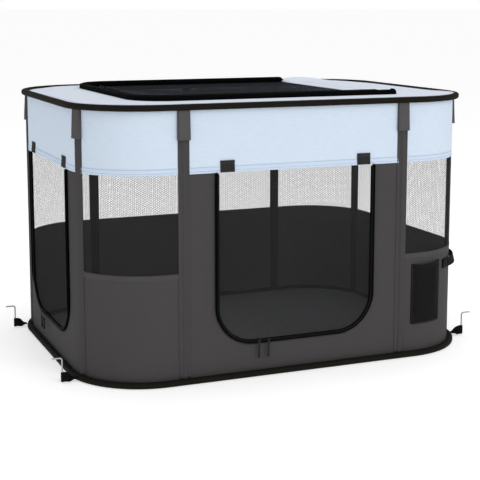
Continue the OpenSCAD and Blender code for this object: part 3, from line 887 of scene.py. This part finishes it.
def hoop_profile(s, seed):
    """The cloth-bound hoop's section at s: a round outer side, and a neck where it joins the wall."""
    width, height = HOOP_OUT, RIM_HI.z - RIM_LO.z
    middle, mid_out = height / 2, 8 * MM
    swell = 1 + 0.02 * math.sin(2 * math.pi * s / (10 * MM) + 3 * noise.noise(Vector((s * 30, seed, 0))))
    swell += 0.03 * noise.noise(Vector((s * 14, seed, 4)))
    swell = min(swell, 1.0 / 0.98)
    points = []
    for k in range(13):
        a = math.radians(-90 + 15 * k)
        reach = abs(math.cos(a)) ** 0.8
        rise = math.copysign(abs(math.sin(a)) ** 0.8, math.sin(a))
        out = mid_out + (width - mid_out) * reach * 0.98 * swell
        points.append((out, middle + middle * rise * 0.98 * swell))
    neck = 3.2 * MM
    points += [(3 * MM, height - 1.2 * MM), (0.6 * MM, height - neck), (-1.2 * MM, height - neck)]
    points += [(-1.2 * MM, neck), (0.6 * MM, neck), (3 * MM, 1.2 * MM)]
    return points


def hoop(name, z, owner, group):
    """A hoop's binding: tape wrapped round the spring wire and sewn through next to the wall."""
    count = 1100
    spaced = [PERIMETER * k / count for k in range(count)]
    frames = [(on_wall(s, z), facing(s), UP, s) for s in spaced]
    piece = sweep(name, frames, lambda s: hoop_profile(s, z), BINDING, closed=True)
    place_piece(piece, "root", "binding", owner)
    height = RIM_HI.z - RIM_LO.z
    around = [PERIMETER * k / 600 for k in range(601)]
    for level, way in ((height - 0.9 * MM, 1), (0.9 * MM, -1)):
        sew(group, [(on_wall(s, z + level, 3.2 * MM), (UP * way)) for s in around], lift=0.1 * MM)


def hoop_joins():
    """The lap where each binding's ends meet, at the back."""
    for name, z in (("rim_binding_lap", RIM_LO.z), ("base_binding_lap", BASE_LO.z)):
        length = 34 * MM
        spaced = [BACK_S + 60 * MM + length * k / 12 for k in range(13)]

        def lap(s, z=z):
            grow = 0.5 * MM * ease(min(s - spaced[0], spaced[-1] - s) + 0.4 * MM, 1.5 * MM)
            centre = (8 * MM, (RIM_HI.z - RIM_LO.z) / 2)
            found = []
            for a, b in hoop_profile(s, z):
                away = Vector((a - centre[0], b - centre[1]))
                moved = away.normalized() * grow if a > 1 * MM else Vector((0, 0))
                found.append((a + moved.x, max(b + moved.y, 0.0)))
            return found

        frames = [(on_wall(s, z), facing(s), UP, s) for s in spaced]
        place_piece(sweep(name, frames, lap, BINDING), "root", "binding")


# ---- poles' sleeves and pockets ----

SLEEVE_W = 30 * MM
ROD_R = 2.5 * MM
ROD_OUT = 3 * MM


def rods():
    """The fibreglass rods inside the sleeves."""
    z0, z1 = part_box("support_poles")[0].z, POCKET_LO.z + 30 * MM
    points, faces, flat = [], [], []
    sides = 20
    for middle in POLES.values():
        for z, size in ((z0, 0.8), (z0 + 0.5 * MM, 1.0), (z1 - 0.5 * MM, 1.0), (z1, 0.8)):
            for k in range(sides):
                a = 2 * math.pi * k / sides
                t, out = ROD_R * size * math.cos(a), ROD_OUT + ROD_R * size * math.sin(a)
                points.append(on_wall(middle, z, out) + heading(middle) * t)
        first = len(points) - 4 * sides
        for j in range(3):
            for k in range(sides):
                m = (k + 1) % sides
                low = first + sides * j
                faces.append([low + k, low + m, low + sides + m, low + sides + k])
        faces.append([first + k for k in range(sides)])
        faces.append([first + 3 * sides + k for k in range(sides)])
    flat = [(0.0, 0.0)] * sum(len(f) for f in faces)
    piece = build("pole_rods", points, faces, flat, ROD, closed=True)
    place_piece(piece, "root", "pole_fibreglass", "support_poles")


def sleeves():
    """A strip of cloth down each pole, sewn along both edges."""
    z0, z1 = BASE_HI.z - 1 * MM, POCKET_LO.z + 5 * MM
    across = [SLEEVE_W * k / 20 - SLEEVE_W / 2 for k in range(21)]
    for name, middle in POLES.items():
        seed = middle * 3

        def height(t, z, seed=seed):
            loose = 0.2 * MM * (1 + noise.noise(Vector((z * 26, t * 60, seed))))
            drift = 0.3 * MM * noise.noise(Vector((z * 9, seed, 1)))
            bump = 5.7 * MM * math.exp(-abs((t - drift) / (4.9 * MM)) ** 2.2)
            uneven = 9 * noise.noise(Vector((z * 8, seed, 2)))
            crimp = 0.3 * MM * math.sin(z * 2 * math.pi / (23 * MM) + uneven)
            crimp *= math.exp(-((abs(t) - 9 * MM) / (3 * MM)) ** 2)
            seam = -0.35 * MM * math.exp(-((abs(t) - 12.5 * MM) / (0.9 * MM)) ** 2)
            return 1.1 * MM + bump + loose * ease(SLEEVE_W / 2 - abs(t), 4 * MM) + crimp + seam

        def place(t, z, middle=middle, height=height):
            return on_wall(middle + t, z, height(t, z))

        piece = grid("pole_sleeve_" + name, across, steps(z0, z1, 6 * MM), place, GREY,
                     flat=lambda t, z: (z, t))
        # Its back face takes the lighter grey cloth: painted light where the inside of the pen shades it.
        thicken(piece, CLOTH_T, SLEEVE_BACK_PAINTED_LIGHT)
        place_piece(piece, "root", "grey_cloth", "pole_sleeves")
        for t in (-12.5 * MM, 12.5 * MM):
            line = [(place(t, z), facing(middle + t)) for z in steps(z0 + 2 * MM, z1, 8 * MM)]
            sew(SLEEVE_STITCHES, line)


def pockets():
    """The pocket over each pole's top: it hangs from the rim and stands out more towards its mouth."""
    z0, z1 = POCKET_LO.z, POCKET_HI.z
    tall = z1 - z0
    corner = 2.6 * MM
    hem = 6 * MM
    for name, middle in POLES.items():
        seed = middle * 5

        def section(z):
            """The pocket's outline at a height, from the wall round its front and back."""
            down = (z1 - z) / tall
            depth = (7.6 + 3.2 * down) * MM
            half = (15.8 + 0.4 * down) * MM
            points = [(-half, -0.4 * MM), (-half, depth / 4), (-half, depth - corner)]
            points += [
                (-half + corner - corner * math.cos(a), depth - corner + corner * math.sin(a))
                for a in np.radians((25, 50, 75, 90))
            ]
            inner = half - corner
            front = [(-inner + 2 * inner * k / 8, depth) for k in range(1, 8)]
            return points + front + [(-a, b) for a, b in points[::-1]]

        count = len(section(z0))

        def place(k, z, middle=middle, seed=seed):
            t, out = section(z)[int(k)]
            wrinkle = 0.5 * MM * noise.noise(Vector((t * 45, z * 35, seed)))
            dent = -0.4 * MM * math.exp(-((z - z0 - hem) / (0.9 * MM)) ** 2)
            lip = 0.3 * MM * (1 - ease(z - z0 - hem, 1.2 * MM))
            push = (wrinkle + dent + lip) * ease(out, 6 * MM)
            return on_wall(middle + t, z, out + push)

        rows = steps(z0, z1 + 4 * MM, 5 * MM, (z0 + hem,))
        piece = grid("pole_pocket_" + name, list(range(count)), rows, place, GREY_POCKET,
                     flat=lambda k, z: (0.003 * k, z))
        thicken(piece, CLOTH_T)
        place_piece(piece, "root", "grey_cloth", "pole_pockets")
        front = range(7, count - 7)
        line = [(place(k, z0 + hem), facing(middle)) for k in front]
        sew(SLEEVE_STITCHES, line)
        for k in (6, count - 7):
            sew(SLEEVE_STITCHES, [(place(k, z), facing(middle)) for z in rows[2:-2]])


# ---- inside ----

def strip(width, thickness):
    return rounded_bar(width, thickness, 0.4 * thickness, 1, side=-width / 2)


def inner_tapes():
    """The tapes that cover the seams inside: one up each pole, and one round the top and bottom."""
    depth = 2.2 * MM
    tape = strip(26 * MM, 1.0 * MM)
    for name, middle in POLES.items():
        frames = [
            (on_wall(middle, z, -depth), heading(middle), -facing(middle), z)
            for z in steps(FLOOR_TOP + 2 * MM, RIM_LO.z + 6 * MM, 20 * MM)
        ]
        place_piece(sweep("inner_tape_" + name, frames, tape, INNER_TAPE), "root", "binding")
    count = 360
    around = [PERIMETER * k / count for k in range(count)]
    for name, z, width in (
        ("inner_tape_top", RIM_LO.z + 4 * MM, 18 * MM), ("inner_tape_floor", 5 * MM, 8 * MM),
    ):
        frames = [(on_wall(s, z, -depth - 1.0 * MM), UP, -facing(s), s) for s in around]
        piece = sweep(name, frames, strip(width, 1.2 * MM), BINDING, closed=True)
        place_piece(piece, "root", "binding")


def pen_outline(out, step=12 * MM):
    count = round(PERIMETER / step)
    return [tuple(on_wall(PERIMETER * k / count, 0, out)[:2]) for k in range(count)]


def floor_mat():
    """The padded floor: a flat underside and a top that is sewn down round its edge."""
    outline = pen_outline(-1.2 * MM)

    def top(x, y, edge):
        swell = 0.6 * MM * ease(edge, 30 * MM) * (1 + 0.6 * slack(x, y, 21.0))
        return Vector((x, y, FLOOR_TOP - 0.8 * MM + swell))

    piece = cut_sheet("floor_mat_cloth", outline, top, FLOOR_CLOTH, du=14 * MM, dv=14 * MM)
    thicken(piece, 1.6 * MM)
    place_piece(piece, "root", "floor_cloth", "floor_mat")
    area = loop_area(outline)

    def under(x, y, edge):
        return Vector((x, y, 0.3 * MM + 0.25 * MM * ease(edge, 40 * MM) * (1 + slack(x, y, 2.0))))

    below = pen_outline(1.5 * MM)[::-1]
    cover = cut_sheet("floor_underside_cloth", below, under, GREY, du=20 * MM, dv=20 * MM)
    thicken(cover, 0.3 * MM, offset=0)
    place_piece(cover, "root", "grey_cloth")


# ---- roof and hatch ----

HATCH_LO, HATCH_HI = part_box("hatch_zip_tape")
HATCH_X0, HATCH_HALF = HATCH_LO.x, HATCH_HI.y
HATCH_X1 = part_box("hatch_border_cloth")[1].x + 0.5 * MM
HATCH_TAPE_END = HATCH_HI.x
HATCH_MESH_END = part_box("hatch_mesh")[1].x
HATCH_R = 100 * MM
BEAD_H = HATCH_HI.z - ROOF_Z


def hatch_outline(inset, end, step=6 * MM):
    """From the hinge end of the front edge, round the left corners and back along the back edge."""
    side = HATCH_HALF - inset
    x0 = HATCH_X0 + inset
    r = HATCH_R - inset
    front = [(x, -side) for x in steps(x0 + r, end, step)[::-1]]
    turn = max(8, round(r * 1.57 / step))
    arc = [math.radians(a) for a in np.linspace(270, 180, turn)]
    front += [(x0 + r + r * math.cos(a), r - side + r * math.sin(a)) for a in arc[1:]]
    left = [(x0, y) for y in steps(r - side, side - r, step)[1:-1]]
    return front + left + [(x, -y) for x, y in front[::-1]]


def hatch_frames(inset, end, z):
    """Frames along the hatch's outline, whose side points towards its middle."""
    line = [Vector((x, y, z)) for x, y in hatch_outline(inset, end)]
    return frames_along(line, lambda ahead: ahead.cross(UP), UP)


def from_wall(x, y):
    """How far a place inside the pen is from the wall's outer face."""
    over_x, over_y = abs(x) - RUN_X, abs(y) - RUN_Y
    beyond = math.hypot(max(over_x, 0), max(over_y, 0)) + min(max(over_x, over_y), 0)
    return CORNER_R - beyond


ROOF_DROP = 5.5 * MM
RISE_X, RISE_Y, RISE_H = 0.362, 0.365, 10 * MM
CREASE_X, CREASE_SLANT, CREASE_DEPTH = 0.072, 0.15, 2.4 * MM


def roof_height(x, y, edge):
    """The roof cloth's height: level with the rim at the front and sewn lower down it elsewhere,
    with a rise behind the hatch's hinge and a crease at its front."""
    z = ROOF_Z - 0.4 * MM + 1.2 * MM * ease(edge, 25 * MM) * slack(x, y, 31.0)
    low = ROOF_DROP * max(ease(y + 0.15, 0.45), 0.8 * ease(x - 0.38, 0.14) * ease(y + 0.33, 0.2))
    z -= low * (1 - ease(from_wall(x, y), 60 * MM))
    rise = math.exp(-(((x - RISE_X) / 0.1) ** 2) - ((y - RISE_Y) / 0.03) ** 2)
    z += RISE_H * rise * ease(edge, 14 * MM)
    fold_x = HATCH_X0 + CREASE_X + CREASE_SLANT * (y + HATCH_HALF)
    if y < -HATCH_HALF:
        z -= CREASE_DEPTH * math.exp(-(((x - fold_x) / (2.6 * MM)) ** 2)) * ease(edge, 12 * MM)
    return z


def roof():
    outline = pen_outline(2 * MM)
    hole = hatch_outline(2 * MM, HATCH_X1)

    def place(x, y, edge):
        return Vector((x, y, roof_height(x, y, edge)))

    piece = cut_sheet("roof_cloth", outline, place, ROOF, holes=[hole], du=6 * MM, dv=6 * MM)
    thicken(piece, CLOTH_T)
    place_piece(piece, "root", "roof_cloth", "roof_panel")
    area = loop_area(outline) - loop_area(hole)
    count = 600
    line = []
    for k in range(count + 1):
        s = PERIMETER * k / count
        spot = on_wall(s, 0, -5 * MM)
        line.append((Vector((spot.x, spot.y, roof_height(spot.x, spot.y, 7 * MM))), UP))
    sew(ROOF_STITCHES, line)


BACK_SINK, BACK_END_SHARE = 0.76, 0.26
LEAF_BEAD_RISE = 2.2 * MM
FRONT_END_RISE = 3.4 * MM
BORDER_HUMP = 5.5 * MM


def hatch():
    """The zipped roof hatch: black mesh, a pale border at its hinge, and a thick bead round the zip."""
    rows = hatch_frames(0, HATCH_TAPE_END, ROOF_Z)
    length = rows[-1][3]
    past_mesh = HATCH_TAPE_END - HATCH_MESH_END

    def sunk(d):
        """The bead stands high, but lies low beside the border's back end."""
        return BEAD_H * (1 - BACK_SINK * ease(d - (length - past_mesh), 12 * MM))

    def leaf_bead(d):
        over_mesh = min(d, length - d) - past_mesh + 6 * MM
        return bead(False, sunk(d) + LEAF_BEAD_RISE * ease(over_mesh, 12 * MM))

    outer = sweep("hatch_zip_bead_frame", rows, lambda d: bead(True, sunk(d)), ZIP_TAPE)
    place_piece(outer, "root", "zip_tape", "hatch_zip_tape")

    inner = sweep("hatch_zip_bead_leaf", rows, leaf_bead, ZIP_TAPE)
    place_piece(inner, "hatch", "zip_tape", "hatch_zip")
    top = BEAD_H - 0.2 * MM
    half_coil = 1.2 * MM
    bare = [row for row in rows if row[0].y < 0 or row[0].x < HATCH_MESH_END]
    zip_coil("hatch_zip_coil_frame", bare, TAPE_W - half_coil, 1, top, "root")
    zip_coil("hatch_zip_coil_leaf", bare, TAPE_W + ZIP_GAP + half_coil, -1, top, "hatch")
    for sign, name, end_h in (
        (-1, "front", BEAD_H + FRONT_END_RISE), (1, "back", BACK_END_SHARE * BEAD_H),
    ):
        middle = sign * (HATCH_HALF - ZIP_W / 2)
        lengths = [HATCH_TAPE_END + 0.4 * MM + 16 * MM * k / 8 for k in range(9)]

        def end_cap(x, lengths=lengths, end_h=end_h):
            left = max(1 - ((x - lengths[0]) / (lengths[-1] - lengths[0])) ** 3.4, 0.02)
            grow = left ** 0.5
            wide, tall = (ZIP_W / 2 + 0.8 * MM) * grow, end_h * grow
            around = np.radians(np.linspace(0, 180, 11))
            shape = [(wide * math.copysign(abs(math.cos(a)) ** 0.7, math.cos(a)), tall * math.sin(a) ** 0.7)
                     for a in around]
            return [(a, max(b, 0) - 0.4 * MM) for a, b in shape]

        frames = [(Vector((x, middle, ROOF_Z)), Vector((0, 1, 0)), UP, x) for x in lengths]
        place_piece(sweep(f"hatch_zip_end_{name}", frames, end_cap, ZIP_TAPE), "root", "zip_tape")

    side = HATCH_HALF - ZIP_W
    outline = hatch_outline(ZIP_W - 3 * MM, HATCH_MESH_END + 4 * MM, 12 * MM)

    def sag(x, y, edge):
        dip = 4 * MM * ease(edge, 300 * MM)
        return Vector((x, y, ROOF_Z - 1.2 * MM - dip + 0.2 * MM * slack(x, y, 41.0)))

    net = cut_sheet("hatch_net", outline, sag, HATCH_NET, du=16 * MM, dv=16 * MM)
    thicken(net, 0.5 * MM)
    place_piece(net, "hatch", "hatch_mesh", "hatch_mesh")
    loop_area(outline)

    seam_x = HATCH_MESH_END + 9 * MM

    def border(x, y):
        edge = min(side - abs(y), HATCH_X1 - x, x - HATCH_MESH_END)
        z = ROOF_Z - 0.3 * MM + 0.8 * MM * ease(edge, 14 * MM) * slack(x, y, 51.0)
        hump = ease(x - HATCH_MESH_END, 8 * MM) * ease(HATCH_X1 - x - 2 * MM, 14 * MM)
        z += BORDER_HUMP * ease(y - side + 60 * MM, 45 * MM) * hump
        return Vector((x, y, z - GROOVE * math.exp(-(((x - seam_x) / (0.9 * MM)) ** 2))))

    xs = steps(HATCH_MESH_END, HATCH_X1 - 0.5 * MM, 5 * MM, (seam_x,))
    ys = steps(-side, side, 8 * MM)
    cloth = grid("hatch_border_cloth_piece", xs, ys, border, ROOF)
    thicken(cloth, CLOTH_T)
    place_piece(cloth, "hatch", "roof_cloth", "hatch_border_cloth")
    sew(HATCH_STITCHES, [(border(seam_x, y), UP) for y in ys])
    sew(ROOF_STITCHES, [(Vector((HATCH_X1 + 5 * MM, y, ROOF_Z + 0.1 * MM)), UP) for y in ys])


# ---- tabs, pocket, handle, stake loops ----

def tabs():
    """Hook-and-loop ties that hold a rolled door, and the patches that they hang from."""
    patch_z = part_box("front_tab_left")[1].z
    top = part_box("tab_patches")[1].z
    for name, way, sign in (
        ("front_tab_left", FRONT, -1), ("front_tab_right", FRONT, 1),
        ("side_tab_back", SIDE, -1), ("side_tab_front", SIDE, 1),
    ):
        lo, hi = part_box(name)
        wide = max(hi.x - lo.x, hi.y - lo.y)
        middle = way.middle + sign * (way.half - ZIP_W - wide / 2)
        low, high = lo.z, hi.z

        def place(t, z, middle=middle, low=low, high=high):
            curl = 1.2 * MM * ease(high - z, high - low)
            curl += 0.4 * MM * noise.noise(Vector((t * 60, z * 60, middle)))
            return on_wall(middle + t, z, 1.9 * MM + curl)

        across = steps(-wide / 2, wide / 2, 3 * MM)
        rows = steps(low, high - 0.3 * MM, 3 * MM)
        piece = grid(name + "_strap", across, rows, place, HOOK_LOOP)
        thicken(piece, 1.4 * MM)
        place_piece(piece, name, "hook_and_loop", name)
        group = ("stitching_" + name, name, "hook_and_loop", BLACK_THREAD)
        inset = 2.5 * MM
        loop = [(-1, 0), (1, 0), (1, 1), (-1, 1), (-1, 0)]
        corners = [(a * (wide / 2 - inset), low + inset + b * (high - low - 2 * inset)) for a, b in loop]
        for line in runs_between(corners):
            sew(group, [(place(t, z), facing(middle)) for t, z in line])

        def patch(t, z, middle=middle):
            return on_wall(middle + t, z, 2.1 * MM)

        rows = steps(patch_z + 0.3 * MM, top, 2 * MM)
        cover = grid(name + "_patch", across, rows, patch, HOOK_LOOP)
        thicken(cover, 1.6 * MM)
        place_piece(cover, "root", "hook_and_loop", "tab_patches")
        for z in (patch_z + 2 * MM, top - 2 * MM):
            sew(DARK_STITCHES, [(patch(t, z), facing(middle)) for t in across[1:-1]])


POUCH_LO, POUCH_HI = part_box("storage_pocket")
POUCH_S0 = POUCH_LO.x
POUCH_S1 = RUN_X + CORNER_R * math.radians(26)
POUCH_DEPTH = 10 * MM


def pouch():
    """The mesh pocket at the front right corner: open at the top, gathered down to its sides."""
    z0, z1 = POUCH_LO.z, POUCH_HI.z
    wide = POUCH_S1 - POUCH_S0

    def mouth(s):
        """The height of the mouth, which dips between its two sewn ends."""
        t = (s - POUCH_S0) / wide
        return z1 - 5 * MM - 3 * MM * (4 * t * (1 - t)) ** 0.8 + 3 * MM * t

    def out_at(s, v):
        side = min(s - POUCH_S0, POUCH_S1 - s)
        belly = ease(side + 1 * MM, 22 * MM) * ease(v * (z1 - z0) + 2 * MM, 45 * MM)
        folds = 0.8 * MM * slack(2 * s, 0.4 * v, 61.0) * ease(side, 12 * MM)
        return 1.2 * MM + (POUCH_DEPTH - 3 * MM) * belly * (0.75 + 0.25 * v) + folds

    def place(s, v):
        return on_wall(s, z0 + v * (mouth(s) - z0), out_at(s, v))

    across = steps(POUCH_S0, POUCH_S1, 3.5 * MM)
    up = [k / 40 for k in range(41)]
    net = grid("storage_pocket_net", across, up, place, POCKET_NET, flat=lambda s, v: (s, v * (z1 - z0)))
    thicken(net, 0.6 * MM)
    place_piece(net, "root", "pocket_mesh", "storage_pocket")

    tape = rounded_bar(8 * MM, 1.8 * MM, 0.7 * MM, 2, low=-0.9 * MM, side=-7 * MM)
    top_line = []
    for s in across:
        spot = place(s, 1.0)
        top_line.append((spot, UP, facing(s), s))
    place_piece(sweep("storage_pocket_mouth_tape", top_line, tape, POCKET_TAPE), "root", "pocket_mesh")
    edge = rounded_bar(7 * MM, 1.6 * MM, 0.6 * MM, 2, side=-3.5 * MM)
    for name, s in (("left", POUCH_S0), ("right", POUCH_S1)):
        line = [(on_wall(s, z, 0.3 * MM), heading(s), facing(s), z) for z in steps(z0, mouth(s), 8 * MM)]
        place_piece(sweep(f"storage_pocket_{name}_tape", line, edge, POCKET_TAPE), "root", "pocket_mesh")
        sew(DARK_STITCHES, [(p + u * 1.7 * MM, u) for p, _, u, _ in line])
    line = [(on_wall(s, z0, 0.3 * MM), UP, facing(s), s) for s in across]
    place_piece(sweep("storage_pocket_bottom_tape", line, edge, POCKET_TAPE), "root", "pocket_mesh")
    sew(DARK_STITCHES, [(p + u * 1.7 * MM, u) for p, _, u, _ in line])


def webbing_profile(width, thickness):
    return rounded_bar(thickness, width, 0.45 * thickness, 3, low=-width / 2, side=-thickness / 2)


HANDLE_LO, HANDLE_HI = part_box("carry_handle")
HANDLE_START_TURN = math.radians(40)
HANDLE_END_Y = -165 * MM
HANDLE_BULGE = 42 * MM


def handle():
    """The webbing carry handle, bowed out from the corner between two box-stitched ends."""
    z = (HANDLE_LO.z + HANDLE_HI.z) / 2
    width = HANDLE_HI.z - HANDLE_LO.z
    s0 = RUN_X + CORNER_R * HANDLE_START_TURN
    s1 = RUN_X + ARC + RUN_Y + HANDLE_END_Y
    start, end = on_wall(s0, z, 1 * MM), on_wall(s1, z, 1 * MM)
    chord = end - start
    outwards = chord.cross(UP).normalized()
    radius = (chord.length ** 2 / 4 + HANDLE_BULGE ** 2) / (2 * HANDLE_BULGE)
    centre = (start + end) / 2 - outwards * (radius - HANDLE_BULGE)
    half_turn = math.asin(chord.length / 2 / radius)
    along = chord.normalized()
    lap = 24 * MM
    lines = []
    for k in range(8):
        s = s0 - lap + lap * k / 8
        lines.append((on_wall(s, z, 3.2 * MM), facing(s)))
    for k in range(41):
        a = half_turn * (2 * k / 40 - 1)
        away = along * math.sin(a) + outwards * math.cos(a)
        lines.append((centre + away * (radius + 1 * MM), away))
    for k in range(1, 9):
        s = s1 + lap * k / 8
        lines.append((on_wall(s, z, 3.2 * MM), facing(s)))
    frames = []
    distances = run_lengths([place for place, _ in lines])
    for i, (place, away) in enumerate(lines):
        twist = 0.25 * math.sin(math.pi * i / (len(lines) - 1)) ** 2
        side = (away * math.cos(twist) + UP * math.sin(twist)).normalized()
        rise = (UP * math.cos(twist) - away * math.sin(twist)).normalized()
        frames.append((place, side, rise, distances[i]))
    strap = sweep("carry_handle_strap", frames, webbing_profile(width, 1.8 * MM), WEBBING)
    place_piece(strap, "root", "webbing", "carry_handle")
    for name, s in (("front", s0 - lap), ("back", s1 + 1 * MM)):
        spaced = [s + lap * k / 6 for k in range(7)]
        frames = [(on_wall(t, z, 1.2 * MM), facing(t), UP, t) for t in spaced]
        pad = sweep(f"carry_handle_pad_{name}", frames, webbing_profile(width + 1 * MM, 2.2 * MM), WEBBING)
        place_piece(pad, "root", "webbing")
        inset = 3 * MM
        a, b = s + inset, s + lap - inset
        lo, hi = z - width / 2 + inset, z + width / 2 - inset
        box = [(a, lo), (b, lo), (b, hi), (a, hi), (a, lo), (b, hi), (b, lo), (a, hi)]
        for line in runs_between(box):
            sew(DARK_STITCHES, [(on_wall(t, h, 4.2 * MM), facing(t)) for t, h in line])


STAKE_REACH = 26 * MM


def stake_loops():
    """Webbing loops that hold the ground stakes: flat at the hoop, turned on edge round the stake."""
    lo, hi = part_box("stake_loops")
    for name, sx, sy in (
        ("front_left", -1, -1), ("front_right", 1, -1), ("back_left", -1, 1), ("back_right", 1, 1),
    ):
        stake_lo, stake_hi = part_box("stake_" + name)
        far = max(abs(stake_lo.x), abs(stake_hi.x))
        axis = Vector((sx * (far - STAKE_REACH), (stake_lo.y + stake_hi.y) / 2, 0))
        root_x = HALF_L + HOOP_OUT - 7 * MM
        out = Vector((sx, 0, 0))
        across = Vector((0, 1, 0))
        reach = abs(axis.x) - root_x
        ring = 3.4 * MM
        width = hi.z - lo.z
        top = (hi.z + lo.z) / 2
        ways = []
        for k in range(15):
            t = k / 14
            turn = math.pi / 2 * ease(t - 0.12, 0.62)
            wide = across * math.cos(turn) + UP * math.sin(turn)
            flat = UP * math.cos(turn) - across * math.sin(turn)
            z = 9 * MM + (top - 9 * MM) * ease(t, 0.9)
            place = Vector((sx * (root_x + reach * t), axis.y, z))
            gap = 0.9 * MM + (ring - 0.9 * MM) * ease(t - 0.55, 0.45)
            ways.append((place, wide, flat, gap))
        path = [(p + f * g, w, f) for p, w, f, g in ways]
        centre = ways[-1][0]
        for k in range(1, 12):
            a = math.pi * k / 12
            away = -across * math.cos(a) + out * math.sin(a)
            path.append((centre + away * ring, UP, away))
        path += [(p - f * g, w, -f) for p, w, f, g in ways[::-1]]
        distances = run_lengths([place for place, _, _ in path])
        frames = [(place, away, wide, d) for (place, wide, away), d in zip(path, distances)]

        def narrowing(d, total=distances[-1], width=width):
            edge = min(d, total - d)
            return webbing_profile(width * (0.62 + 0.38 * ease(edge, 24 * MM)), 1.2 * MM)

        loop = sweep("stake_loop_" + name, frames, narrowing, WEBBING)
        place_piece(loop, "root", "webbing", "stake_loops")


# ---- CAD nodes that stay ----

def dress_frame():
    """Materials for the CAD parts whose shape is already right."""
    for name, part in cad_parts.items():
        if name.endswith("_wire"):
            finish = SPRING_STEEL
        elif "slider" in name:
            finish = SLIDER_METAL
        elif "_pull_" in name:
            finish = PULL
        elif name.startswith("stake_") and name != "stake_loops":
            finish = STAKE_STEEL
        else:
            continue
        part.data.materials.clear()
        part.data.materials.append(finish)


# ---- stage ----

def light(name, place, target, size, power):
    lamp = bpy.data.lights.new(name, "AREA")
    lamp.shape = "DISK"
    lamp.size = size
    lamp.energy = power
    made = bpy.data.objects.new(name, lamp)
    made.location = place
    made.rotation_euler = (Vector(target) - Vector(place)).to_track_quat("-Z", "Y").to_euler()
    bpy.context.scene.collection.objects.link(made)


FLOOR_HALF = 900.0
FLOOR_GLOW = 0.45
SKY_LEVEL, SKY_HIGH = 0.04, 0.25
SKY_DIM = 0.6
LENS_MM, SENSOR_MM, LENS_SHIFT = 88.9, 36, -0.1208
CAMERA_PLACE = (-1.2662, -3.0985, 0.9281)
CAMERA_TILT, CAMERA_TURN = 81.65, -22.44
LIGHTS = (
    ("key", (1.4, -4.2, 3.0), (0, 0, 0.4), 2.6, 57),
    ("fill", (-3.6, -2.6, 2.4), (0, 0, 0.4), 2.4, 8),
    ("top", (0.2, 0.6, 4.0), (0, 0, 0.7), 2.5, 26),
)


def stage():
    """A plain pale floor, soft light and a camera at the photograph's angle."""
    mesh = bpy.data.meshes.new("studio_floor")
    corners = [(-1, -1), (1, -1), (1, 1), (-1, 1)]
    mesh.from_pydata([(x * FLOOR_HALF, y * FLOOR_HALF, 0) for x, y in corners], [], [(0, 1, 2, 3)])
    floor = bpy.data.objects.new("studio_floor", mesh)
    material, _, shader = new_material("studio_floor", (0.85, 0.85, 0.85, 1), 0.9, Specular_IOR_Level=0.0)
    shader.inputs["Emission Color"].default_value = (1, 1, 1, 1)
    shader.inputs["Emission Strength"].default_value = FLOOR_GLOW
    mesh.materials.append(material)
    bpy.context.scene.collection.objects.link(floor)

    world = bpy.data.worlds.new("studio")
    world.use_nodes = True
    tree = world.node_tree
    tree.nodes["Background"].inputs["Color"].default_value = (1, 1, 1, 1)
    height = node(tree, "SeparateXYZ", {0: node(tree, "TexCoord").outputs["Generated"]}).outputs[2]
    dimming = node(tree, "MapRange", {0: height, 1: SKY_LEVEL, 2: SKY_HIGH, 3: 1.0, 4: SKY_DIM}).outputs[0]
    tree.links.new(dimming, tree.nodes["Background"].inputs["Strength"])
    bpy.context.scene.world = world
    for name, place, target, size, power in LIGHTS:
        light(name, place, target, size, power)

    lens = bpy.data.cameras.new("camera")
    lens.sensor_width = SENSOR_MM
    lens.lens = LENS_MM
    lens.shift_y = LENS_SHIFT
    lens.clip_end = 2000
    camera = bpy.data.objects.new("camera", lens)
    camera.location = CAMERA_PLACE
    camera.rotation_euler = (math.radians(CAMERA_TILT), 0, math.radians(CAMERA_TURN))
    bpy.context.scene.collection.objects.link(camera)
    bpy.context.scene.camera = camera
    bpy.context.scene.view_settings.view_transform = "Standard"


stage()
dress_frame()
valances()
lower_panels()
windows()
door_wall(FRONT, *STRETCHES["front"], "front_wall")
door_wall(SIDE, *STRETCHES["left"], "left_wall")
door(FRONT, "front_door", "front_zip_tape", "front_door_zip", "front_door_mesh")
door(SIDE, "side_door", "side_zip_tape", "side_door_zip", "side_door_mesh")
hoop("rim_binding_tape", RIM_LO.z, "rim_binding", RIM_STITCHES)
hoop("base_binding_tape", BASE_LO.z, "base_binding", BASE_STITCHES)
hoop_joins()
rods()
sleeves()
pockets()
inner_tapes()
floor_mat()
roof()
hatch()
tabs()
pouch()
handle()
stake_loops()
make_stitches()
